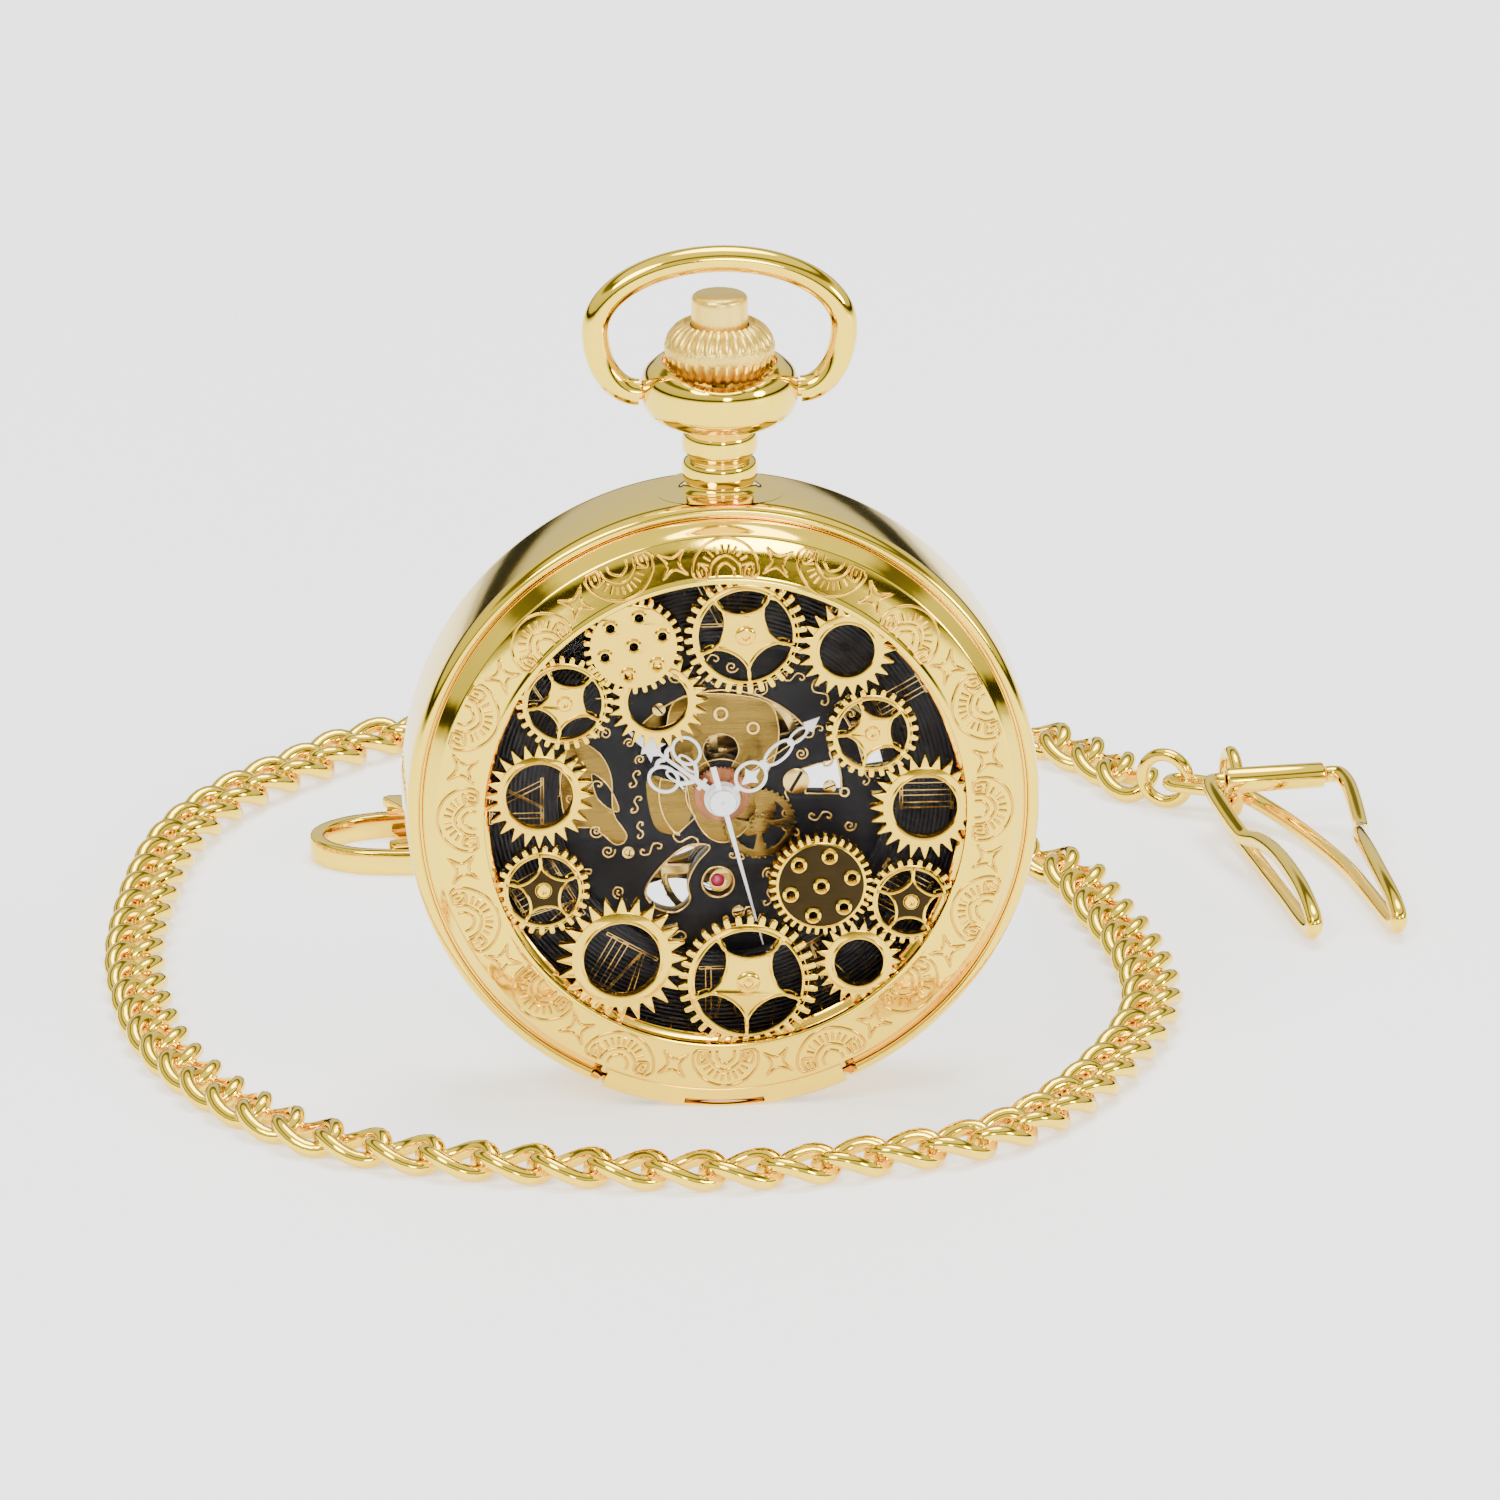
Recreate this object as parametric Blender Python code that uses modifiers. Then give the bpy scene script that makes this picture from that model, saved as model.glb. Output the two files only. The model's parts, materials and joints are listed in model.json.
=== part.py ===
"""Open-lid skeleton pocket watch with its chain, clasp and belt clip.

The watch stands upright on its six o'clock hinge land, dial towards -Y and crown up, with the
origin in the middle of that land. The chain lies on the same surface, round and behind the watch.
Sizes below are in millimetres; helpers turn them into metres.
"""

import math

import bmesh
import bpy
from mathutils import Matrix, Vector

MM = 0.001

# ---- driving dimensions: case ----
CASE_R = 23.5            # outside radius of the middle of the case
FOOT_WIDTH = 6.0         # flat land the case stands on, across X
CASE_HALF = 4.6          # half depth of the case middle, at its rolled rims
WATCH_HALF = 6.5         # half depth of the whole watch, lid to back
BAND_HALF = 3.0          # half width of the straight outer band
SEAT_R = 22.55           # inner side of the rolled rims
SEAT_Y = 4.05            # depth of the seats for lid and back
BORE_R = 20.9            # inside radius of the case middle
LEDGE_R = 20.4           # ledge that the glass ring and the movement ring meet
LEDGE_Y = (-2.4, -1.8)

# ---- clearances ----
FIT = 0.1                # between a piece and the seat it sits in
RUN = 0.07               # between meshed wheels, and round a turning shaft

# ---- lid, glasses, back ----
LID_R = SEAT_R - 0.15
LID_HOLE_R = 17.9
LID_SKIRT_R = 21.3
LID_LIP = 1.05           # depth of the lip round the lid opening
CRYSTAL_R = 19.3
CRYSTAL_Y = (-4.4, -3.9)
BACK_GLASS_R = 18.6
BACK_GLASS_Y = (4.85, 5.35)

# ---- hinge at six o'clock ----
HINGE_Y = -4.0
HINGE_Z = 1.05
KNUCKLE_R = 0.85
KNUCKLE_HALF = 2.95      # half length of the middle knuckle
HINGE_HALF = 7.2         # half length of the whole barrel
TAB_HALF = 9.2           # half width of the lid's hinge lip
PIN_R = 0.35

# ---- pendant, bow, crown ----
NECK_R = 2.8
PENDANT_R = 5.85
STEM_BORE_R = 0.75
STEM_R = 0.6
CROWN_RECESS_R = 4.25
CROWN_R = 4.1
PUSHER_R = 2.1
PUSHER_TRAVEL = 1.0
CROWN_PULL = 1.2
BOW_HALF = 9.2           # centre line of the bow wire, half width
BOW_END_X = 6.0
BOW_WIRE_R = 1.0
PIVOT_H = 7.4            # height of the bow's pivots above the case
BOW_SIDE_H = 12.2        # height of the bow's widest place
BOW_TOP_H = 17.55
BOW_PIVOT_R = 0.6

# ---- dial and movement ----
DIAL_R = 20.2
DIAL_HOLE_R = 12.2
DIAL_Y = (-2.0, -1.7)
RING_R = (18.75, 20.0)
RING_Y = (-1.6, 1.5)
PLATE_R = 18.6
PLATE_Y = (-1.0, 0.5)
BRIDGE_Y = (3.0, 3.8)
TOP_WHEEL_Y = (3.88, 4.25)
JEWEL_R = 0.7
JEWEL_Y = (3.2, 3.7)
PIVOT_Y = 3.15           # where arbors end under their jewels
FOOT_Y = 0.55            # where arbors and bridge feet meet the main plate
ARBOR_R = 0.25
SCREW_R = 0.9
SCREW_Y = (3.85, 4.25)

BARREL_R = 5.0
GREAT_WHEEL_R = 3.9
GREAT_PINION_R = 0.8
THIRD_WHEEL_R = 3.6
THIRD_PINION_R = 0.49
SECONDS_WHEEL_R = 2.7
SECONDS_PINION_R = 0.48
ESCAPE_WHEEL_R = 1.9
ESCAPE_PINION_R = 0.3
BALANCE_R = 4.2
CANNON_R = 0.92
MINUTE_WHEEL_R = 2.76
MINUTE_PINION_R = 0.735
HOUR_WHEEL_R = 2.94
RATCHET_R = 4.4
CROWN_WHEEL_R = 3.5

HOUR_HAND_Y = (-2.7, -2.5)
MINUTE_HAND_Y = (-3.15, -3.0)
SECOND_HAND_Y = (-3.6, -3.5)
HAND_HUB_R = 1.35
HOUR_HAND_LENGTH = 9.0
MINUTE_HAND_LENGTH = 9.65
SECOND_HAND_LENGTH = 11.6
SECOND_HAND_TAIL = 2.9
HOUR_ANGLE = 307.9       # clockwise from twelve, in degrees
MINUTE_ANGLE = 48.4
SECOND_ANGLE = 165.0

# ---- chain and its fittings ----
CHAIN_R = 1.9
CHAIN_STEP = 7.8         # spacing of the tube's points, about two diameters
LINK_WIRE_R = 0.5
LINK_RING_R = 1.9
CLIP_WIRE_R = 0.65
SLEEVE_R = 1.0
SLEEVE_HALF = 3.9
STRAP_HALF = 0.55        # half thickness of the clasp's hook strap
STRAP_HEIGHT = 1.9
CORD_GAP = 0.3

# ---- derived places ----
CENTRE_Z = math.sqrt(CASE_R ** 2 - (FOOT_WIDTH / 2) ** 2)
TOP_Z = CENTRE_Z + CASE_R
PIVOT_Z = TOP_Z + PIVOT_H

GOLD = (0.83, 0.62, 0.25)
PALE_GOLD = (0.86, 0.70, 0.40)
BRASS = (0.62, 0.46, 0.17)
BLACK = (0.015, 0.015, 0.02)
WHITE = (0.9, 0.9, 0.92)
STEEL = (0.6, 0.6, 0.62)
RUBY = (0.45, 0.01, 0.08)
GLASS = (0.9, 0.95, 0.95)

PLATE_FRAME = Matrix.Rotation(math.radians(90), 4, "X")     # sheet outline (x, z), thickness -Y
TURN_FRAME = Matrix.Rotation(math.radians(-90), 4, "X")     # turned profile (radius, y)


def clear_scene():
    """Remove whatever the file opened with."""
    for obj in list(bpy.data.objects):
        bpy.data.objects.remove(obj, do_unlink=True)


def collection(name):
    """Make a collection in the scene and give it back."""
    made = bpy.data.collections.new(name)
    bpy.context.scene.collection.children.link(made)
    return made


clear_scene()
WATCH = collection("pocket_watch")
CUTTERS = collection("cutters")


def material(name, colour, roughness=0.15, metallic=1.0, alpha=1.0):
    """A Principled material for one part."""
    made = bpy.data.materials.new(name)
    made.use_nodes = True
    shader = made.node_tree.nodes["Principled BSDF"]
    shader.inputs["Base Color"].default_value = (*colour, 1.0)
    shader.inputs["Roughness"].default_value = roughness
    shader.inputs["Metallic"].default_value = metallic
    shader.inputs["Alpha"].default_value = alpha
    return made


def add(obj, group=WATCH):
    """Link an object; one in the cutters group is a hidden tool."""
    group.objects.link(obj)
    if group is CUTTERS:
        obj.hide_render = True
        obj.display_type = "WIRE"
    return obj


def dress(obj, colour, roughness=0.15, metallic=1.0, alpha=1.0):
    """Give the object its own material and smooth its round faces."""
    obj.data.materials.clear()
    obj.data.materials.append(material(obj.name + "_finish", colour, roughness, metallic, alpha))
    if obj.type == "MESH":
        obj.data.shade_smooth()
        obj.data.set_sharp_from_angle(angle=math.radians(35))
    return obj


# ---------------------------------------------------------------- outlines
def arc(cx, cz, radius, start, end, count):
    """Points on an arc, angles in degrees, both ends included."""
    points = []
    for i in range(count + 1):
        angle = math.radians(start + (end - start) * i / count)
        points.append((cx + radius * math.cos(angle), cz + radius * math.sin(angle)))
    return points


def circle(cx, cz, radius, count=24):
    """Points round a full circle."""
    return arc(cx, cz, radius, 0, 360, count)[:-1]


def window(inner, outer, start, end, count=8):
    """A ring sector, as a closed outline about the centre."""
    return arc(0, 0, outer, start, end, count) + arc(0, 0, inner, end, start, count)


def spline(points, closed, per=4):
    """A smooth Catmull-Rom curve through the points."""
    total = len(points)
    out = []
    spans = total if closed else total - 1
    for i in range(spans):
        before = points[(i - 1) % total] if closed or i else points[0]
        here, there = points[i], points[(i + 1) % total]
        after = points[(i + 2) % total] if closed or i + 2 < total else points[-1]
        for step in range(per):
            t = step / per
            out.append(tuple(
                0.5 * (2 * b + (c - a) * t + (2 * a - 5 * b + 4 * c - d) * t ** 2
                       + (3 * b - a - 3 * c + d) * t ** 3)
                for a, b, c, d in zip(before, here, there, after)))
    if not closed:
        out.append(tuple(points[-1]))
    return out


def strap_outline(points, half):
    """The outline of a strap of even thickness along an open path."""
    left, right = [], []
    for i, (x, y) in enumerate(points):
        ahead = points[min(i + 1, len(points) - 1)]
        behind = points[max(i - 1, 0)]
        dx, dy = ahead[0] - behind[0], ahead[1] - behind[1]
        size = math.hypot(dx, dy)
        left.append((x - dy / size * half, y + dx / size * half))
        right.append((x + dy / size * half, y - dx / size * half))
    return left + right[::-1]


# ---------------------------------------------------------------- makers
def mesh_from(obj, name, group):
    """A welded mesh copy of a curve object, which is then removed."""
    bpy.context.view_layer.update()
    evaluated = obj.evaluated_get(bpy.context.evaluated_depsgraph_get())
    mesh = bpy.data.meshes.new_from_object(evaluated)
    work = bmesh.new()
    work.from_mesh(mesh)
    bmesh.ops.remove_doubles(work, verts=work.verts, dist=1e-7)
    bmesh.ops.recalc_face_normals(work, faces=work.faces)
    work.to_mesh(mesh)
    work.free()
    place = obj.matrix_world.copy()
    old = obj.data
    bpy.data.objects.remove(obj, do_unlink=True)
    bpy.data.curves.remove(old)
    made = bpy.data.objects.new(name, mesh)
    made.matrix_world = place
    mesh.name = name
    return add(made, group)


def sheet(name, loops, low, high, place=(0.0, 0.0, 0.0), frame=PLATE_FRAME, group=WATCH):
    """A flat piece from closed outlines, the first outside and the rest holes.

    With the plate frame the outlines are (x, z) and low and high are the piece's y; with an
    identity frame they are (x, y) and low and high are its z.
    """
    curve = bpy.data.curves.new(name, "CURVE")
    curve.dimensions = "2D"
    curve.fill_mode = "BOTH"
    curve.extrude = (high - low) / 2 * MM
    for loop in loops:
        run = curve.splines.new("POLY")
        run.points.add(len(loop) - 1)
        for point, (x, y) in zip(run.points, loop):
            point.co = (x * MM, y * MM, 0.0, 1.0)
        run.use_cyclic_u = True
    obj = add(bpy.data.objects.new(name, curve), group)
    middle = (low + high) / 2
    shift = (place[0], place[1] + middle, place[2])
    if frame is not PLATE_FRAME:
        shift = (place[0], place[1], place[2] + middle)
    obj.matrix_world = Matrix.Translation(Vector(shift) * MM) @ frame
    return mesh_from(obj, name, group)


def turned(name, profile, closed, steps=32, place=(0.0, 0.0, 0.0), frame=TURN_FRAME, group=WATCH):
    """A piece turned from a profile of (radius, height), run down its outer side."""
    mesh = bpy.data.meshes.new(name)
    work = bmesh.new()
    verts = [work.verts.new((radius * MM, 0.0, height * MM)) for radius, height in profile]
    for a, b in zip(verts, verts[1:]):
        work.edges.new((a, b))
    if closed:
        work.edges.new((verts[-1], verts[0]))
    work.to_mesh(mesh)
    work.free()
    obj = add(bpy.data.objects.new(name, mesh), group)
    screw = obj.modifiers.new("turn", "SCREW")
    screw.axis = "Z"
    screw.steps = screw.render_steps = steps
    screw.use_merge_vertices = True
    screw.merge_threshold = 1e-6
    screw.use_smooth_shade = True
    obj.matrix_world = Matrix.Translation(Vector(place) * MM) @ frame
    return obj


def rod(name, radius, start, end, group=WATCH, sides=24):
    """A round bar between two points."""
    first, last = Vector(start), Vector(end)
    mesh = bpy.data.meshes.new(name)
    work = bmesh.new()
    bmesh.ops.create_cone(work, cap_ends=True, segments=sides, radius1=radius * MM,
                          radius2=radius * MM, depth=(last - first).length * MM)
    work.to_mesh(mesh)
    work.free()
    obj = add(bpy.data.objects.new(name, mesh), group)
    turn = (last - first).to_track_quat("Z", "Y").to_matrix().to_4x4()
    obj.matrix_world = Matrix.Translation((first + last) / 2 * MM) @ turn
    return obj


def block(name, low, high, group=CUTTERS):
    """A box from its lowest to its highest corner."""
    mesh = bpy.data.meshes.new(name)
    work = bmesh.new()
    size = [(b - a) * MM for a, b in zip(low, high)]
    bmesh.ops.create_cube(work, size=1.0, matrix=Matrix.Diagonal((*size, 1.0)))
    work.to_mesh(mesh)
    work.free()
    obj = add(bpy.data.objects.new(name, mesh), group)
    obj.location = [(a + b) / 2 * MM for a, b in zip(low, high)]
    return obj


def wire(name, points, radius, closed=False, group=WATCH, sides=2):
    """A round wire or tube through the points."""
    curve = bpy.data.curves.new(name, "CURVE")
    curve.dimensions = "3D"
    curve.bevel_depth = radius * MM
    curve.bevel_resolution = sides
    curve.use_fill_caps = not closed
    run = curve.splines.new("POLY")
    run.points.add(len(points) - 1)
    for point, place in zip(run.points, points):
        point.co = (*[value * MM for value in place], 1.0)
    run.use_cyclic_u = closed
    obj = add(bpy.data.objects.new(name, curve), group)
    return mesh_from(obj, name, group)


def combine(obj, other, operation):
    """Cut, join or keep the common part of two pieces."""
    step = obj.modifiers.new(other.name, "BOOLEAN")
    step.operation = operation
    step.solver = "EXACT"
    step.object = other
    return obj


def ring_profile(inner, outer, low, high):
    """A plain washer's profile for turned()."""
    return [(outer, high), (outer, low), (inner, low), (inner, high)]


def arbor_profile(stages):
    """A solid of revolution from (low y, high y, radius) stages listed from back to front."""
    points = [(0.0, stages[0][1])]
    for low, high, radius in stages:
        points.append((radius, high))
        points.append((radius, low))
    points.append((0.0, stages[-1][0]))
    return points


def at(place):
    """A movement place (x right, z up from the middle) as a case-frame offset."""
    return (place[0], 0.0, CENTRE_Z + place[1])


def mesh_distance(*radii):
    """Centre distance of two meshed round pieces."""
    return sum(radii) + RUN


def away(start, angle, distance):
    """A place at a distance and angle from another."""
    turn = math.radians(angle)
    return (start[0] + distance * math.cos(turn), start[1] + distance * math.sin(turn))


# ---------------------------------------------------------------- movement layout
CENTRE = (0.0, 0.0)
THIRD = away(CENTRE, 52.6, mesh_distance(THIRD_WHEEL_R, SECONDS_PINION_R) + 0.1)
GREAT = away(THIRD, 146.6, mesh_distance(GREAT_WHEEL_R, THIRD_PINION_R) + 0.1)
BARREL = away(GREAT, 199.9, mesh_distance(BARREL_R, GREAT_PINION_R))
ESCAPE = away(CENTRE, 300.0, mesh_distance(SECONDS_WHEEL_R, ESCAPE_PINION_R))
BALANCE = (-0.2, -7.0)
FORK = (0.63, -4.93)
MINUTE = away(CENTRE, 320.0, mesh_distance(CANNON_R, MINUTE_WHEEL_R))
CROWN_WHEEL = away(BARREL, 52.0, mesh_distance(RATCHET_R, CROWN_WHEEL_R))
BRIDGE_FEET = {"barrel_bridge": [(-14.6, 8.2), (-13.4, -5.4)],
               "train_bridge": [(10.0, 3.2)],
               "balance_cock": [(-9.6, -8.2)]}

# ---------------------------------------------------------------- lid gearwork
# (x, z, tip radius, kind, layer); ring gears give the radius of their hole
GEARS = [
    (-6.8, 13.2, 3.6, "disc", 2), (1.5, 13.8, 4.6, "star", 0), (9.0, 12.5, 3.5, 2.0, 1),
    (10.9, 6.0, 3.4, "star", 0), (14.8, 0.2, 4.1, 2.4, 1), (13.8, -7.2, 3.3, "star", 0),
    (7.1, -5.7, 3.9, "disc", 2), (9.9, -11.8, 3.15, 1.65, 1), (1.7, -13.2, 5.15, "star", 0),
    (-7.7, -11.2, 4.95, 3.0, 1), (-13.5, -5.7, 3.45, "star", 0), (-13.8, 1.7, 4.1, 2.5, 1),
    (-11.9, 8.8, 3.4, "star", 0), (-5.0, 8.8, 3.5, 2.3, 1)]
GEAR_GROW = 0.12         # makes neighbours overlap, so that the gearwork is one casting
GEAR_FRONT = (-6.1, -6.2, -6.3)
GEAR_BACK = (-5.02, -5.08, -5.14)
FLANGE = (17.5, 19.2, -5.3, -4.95)


def lens(cx, cz, radius, angle):
    """A leaf-shaped window of a star gear, its long axis across the radius."""
    middle, half, bulge = radius * 0.58, radius * 0.36, radius * 0.2
    points = []
    for i in range(8):
        turn = 2 * math.pi * i / 8
        along, across = half * math.cos(turn), bulge * math.sin(turn)
        out = math.radians(angle)
        points.append((cx + (middle + across) * math.cos(out) - along * math.sin(out),
                       cz + (middle + across) * math.sin(out) + along * math.cos(out)))
    return points


def gear_loops(x, z, radius, kind):
    """Outlines of one gear of the lid, tips as a plain circle."""
    loops = [circle(x, z, radius + GEAR_GROW, 20)]
    if kind == "star":
        loops += [lens(x, z, radius, 90 + 72 * i) for i in range(5)]
    elif kind == "disc":
        loops += [circle(*away((x, z), 60 * i + 20, radius * 0.6), radius * 0.14, 6)
                  for i in range(6)]
    else:
        loops.append(circle(x, z, kind, 16))
    return loops


def build_lid():
    """Lid ring with its hinge lip and knuckles, and the openwork of gears behind it."""
    front = -WATCH_HALF
    lid = turned("lid_frame", [
        (LID_R, -SEAT_Y - FIT), (LID_R, -4.55), (LID_R - 0.15, -4.85), (LID_R - 0.5, -5.25),
        (LID_R - 0.8, -5.7), (LID_R - 1.0, -5.9), (LID_HOLE_R + 0.45, front + 0.08),
        (LID_HOLE_R + 0.3, front), (LID_HOLE_R + 0.1, front), (LID_HOLE_R, front + 0.1),
        (LID_HOLE_R, front + LID_LIP - 0.1), (LID_HOLE_R + 0.6, front + LID_LIP - 0.05),
        (LID_SKIRT_R - 0.3, -5.1), (LID_SKIRT_R, -4.8), (LID_SKIRT_R, -SEAT_Y - FIT)],
        True, 48, at(CENTRE))
    tab = turned("lid_tab", [(CASE_R - 0.05, -4.2), (CASE_R - 0.05, -4.7), (CASE_R - 0.5, -5.1),
                             (LID_R - 0.6, -5.3), (LID_SKIRT_R + 0.3, -5.0),
                             (LID_SKIRT_R + 0.3, -4.2)], True, 48, at(CENTRE), group=CUTTERS)
    combine(tab, block("tab_side", (-TAB_HALF, -7, -2), (TAB_HALF, -3, 4)), "INTERSECT")
    combine(lid, tab, "UNION")
    slot = KNUCKLE_HALF + FIT
    combine(lid, block("lid_slot", (-slot, -5.1, -1), (slot, -3, 2.1)), "DIFFERENCE")
    for side in (-1, 1):
        inner, outer = side * (KNUCKLE_HALF + FIT), side * HINGE_HALF
        knuckle = rod(f"lid_knuckle_{side}", KNUCKLE_R, (inner, HINGE_Y, HINGE_Z),
                      (outer, HINGE_Y, HINGE_Z), CUTTERS)
        combine(lid, knuckle, "UNION")
    combine(lid, rod("lid_pin_bore", PIN_R + RUN, (-9, HINGE_Y, HINGE_Z), (9, HINGE_Y, HINGE_Z),
                     CUTTERS), "DIFFERENCE")
    combine(lid, block("lid_under", (-30, -9, -3), (30, 9, 0)), "DIFFERENCE")
    dress(lid, GOLD, 0.12)

    x, z, radius, kind, layer = GEARS[0]
    work = sheet("lid_gearwork", gear_loops(x, z, radius, kind), GEAR_FRONT[layer],
                 GEAR_BACK[layer], at(CENTRE))
    for number, (x, z, radius, kind, layer) in enumerate(GEARS[1:], start=2):
        gear = sheet(f"gear_{number:02d}", gear_loops(x, z, radius, kind), GEAR_FRONT[layer],
                     GEAR_BACK[layer], at(CENTRE), group=CUTTERS)
        combine(work, gear, "UNION")
    inside = turned("gear_limit", [(0, -4), (LID_HOLE_R - FIT, -4), (LID_HOLE_R - FIT, -8),
                                   (0, -8)], False, 48, at(CENTRE), group=CUTTERS)
    combine(work, inside, "INTERSECT")
    flange = turned("gear_flange", ring_profile(*FLANGE), True, 48, at(CENTRE), group=CUTTERS)
    combine(work, flange, "UNION")
    dress(work, GOLD, 0.14)


def build_case():
    """Case middle, hinge pin, springs, glasses and back."""
    case = turned("mid_case", [
        (SEAT_R, CASE_HALF - 0.25), (SEAT_R + 0.25, CASE_HALF), (CASE_R - 0.3, CASE_HALF - 0.25),
        (CASE_R - 0.05, BAND_HALF + 0.8), (CASE_R, BAND_HALF), (CASE_R, -BAND_HALF),
        (CASE_R - 0.05, -BAND_HALF - 0.8), (CASE_R - 0.3, 0.25 - CASE_HALF),
        (SEAT_R + 0.25, -CASE_HALF), (SEAT_R, 0.25 - CASE_HALF), (SEAT_R, -SEAT_Y),
        (BORE_R, -SEAT_Y), (BORE_R, LEDGE_Y[0]), (LEDGE_R, LEDGE_Y[0]), (LEDGE_R, LEDGE_Y[1]),
        (BORE_R, LEDGE_Y[1]), (BORE_R, SEAT_Y), (SEAT_R, SEAT_Y)], True, 48, at(CENTRE))
    pocket = 2.1
    combine(case, block("hinge_pocket", (-TAB_HALF - 0.2, -6, -2), (TAB_HALF + 0.2, -2.9, pocket)),
            "DIFFERENCE")
    combine(case, block("rim_gap", (-TAB_HALF - 0.2, -6, -2),
                        (TAB_HALF + 0.2, FIT - SEAT_Y, 3.3)), "DIFFERENCE")
    combine(case, block("hinge_web", (-KNUCKLE_HALF, HINGE_Y + 0.1, 0.35),
                        (KNUCKLE_HALF, -2.6, 1.75)), "UNION")
    combine(case, rod("case_knuckle", KNUCKLE_R, (-KNUCKLE_HALF, HINGE_Y, HINGE_Z),
                      (KNUCKLE_HALF, HINGE_Y, HINGE_Z), CUTTERS), "UNION")
    combine(case, rod("case_pin_bore", PIN_R + RUN, (-9, HINGE_Y, HINGE_Z),
                      (9, HINGE_Y, HINGE_Z), CUTTERS), "DIFFERENCE")
    combine(case, block("case_under", (-30, -9, -3), (30, 9, 0)), "DIFFERENCE")
    stem_bore = rod("stem_bore", STEM_BORE_R, (0, 0, CENTRE_Z + PLATE_R - 2), (0, 0, TOP_Z + 1),
                    CUTTERS)
    combine(case, stem_bore, "DIFFERENCE")
    catch_slot = block("catch_slot", (-1.7, -6, CENTRE_Z + LEDGE_R - 0.3),
                       (1.7, -1.0, CENTRE_Z + BORE_R + 0.5))
    combine(case, catch_slot, "DIFFERENCE")
    dress(case, GOLD, 0.12)

    dress(rod("lid_hinge_pin", PIN_R, (-HINGE_HALF, HINGE_Y, HINGE_Z),
              (HINGE_HALF, HINGE_Y, HINGE_Z)), BRASS, 0.25)

    spring_r = (LEDGE_R + FIT, BORE_R - FIT)
    strip = arc(0, 0, spring_r[1], 60, 120, 16) + arc(0, 0, spring_r[0], 120, 60, 16)
    lock = sheet("lock_spring", [strip], -1.7, -0.9, at(CENTRE))
    nose = block("catch_nose", (-1.4, SECOND_HAND_Y[0] - 0.6, CENTRE_Z + LEDGE_R + 0.2),
                 (1.4, -1.1, CENTRE_Z + BORE_R + 0.3))
    combine(lock, nose, "UNION")
    dress(lock, STEEL, 0.3)
    lift = arc(0, 0, spring_r[1], 215, 325, 24) + arc(0, 0, spring_r[0], 325, 215, 24)
    dress(sheet("lift_spring", [lift], -1.7, -0.9, at(CENTRE)), STEEL, 0.3)

    outer, inner = BORE_R - FIT, CRYSTAL_R + FIT
    ring = turned("crystal_bezel", [
        (outer, LEDGE_Y[0] - FIT), (outer, -4.3), (outer - 0.2, -4.5), (inner + 0.1, -4.5),
        (inner, CRYSTAL_Y[0]), (inner, CRYSTAL_Y[1] + FIT), (inner - 0.5, CRYSTAL_Y[1] + FIT),
        (inner - 0.1, LEDGE_Y[0] - FIT)], True, 48, at(CENTRE))
    keyway = block("bezel_keyway", (-1.7, -6, CENTRE_Z + LEDGE_R - 0.3),
                   (1.7, -1.0, CENTRE_Z + BORE_R + 0.5))
    combine(ring, keyway, "DIFFERENCE")
    dress(ring, GOLD, 0.2)
    dress(turned("front_crystal", [(0, CRYSTAL_Y[1]), (CRYSTAL_R, CRYSTAL_Y[1]),
                                   (CRYSTAL_R, CRYSTAL_Y[0]), (0, CRYSTAL_Y[0])], False, 48,
                 at(CENTRE)), GLASS, 0.02, 0.0, 0.2)

    wall = BACK_GLASS_R + FIT
    back = turned("rear_bezel", [
        (wall, WATCH_HALF - 0.1), (wall + 0.2, WATCH_HALF), (20.5, WATCH_HALF), (21.6, 5.95),
        (22.2, 5.2), (LID_R + 0.05, 4.6), (LID_R + 0.05, SEAT_Y + FIT), (BORE_R - FIT, SEAT_Y + FIT),
        (BORE_R - FIT, 2.7), (BORE_R - 0.7, 2.7), (BORE_R - 0.7, 4.3), (BACK_GLASS_R - 0.7, 4.3),
        (BACK_GLASS_R - 0.7, BACK_GLASS_Y[0] - FIT), (wall, BACK_GLASS_Y[0] - FIT)],
        True, 48, at(CENTRE))
    combine(back, block("back_under", (-30, -9, -3), (30, 9, 0)), "DIFFERENCE")
    dress(back, GOLD, 0.12)
    low, high = BACK_GLASS_Y
    dress(turned("rear_crystal", [(0, high + 0.85), (9.3, high + 0.65), (15, high + 0.35),
                                  (BACK_GLASS_R, high), (BACK_GLASS_R, low), (0, low)], False,
                 64, at(CENTRE)), GLASS, 0.02, 0.0, 0.2)


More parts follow.
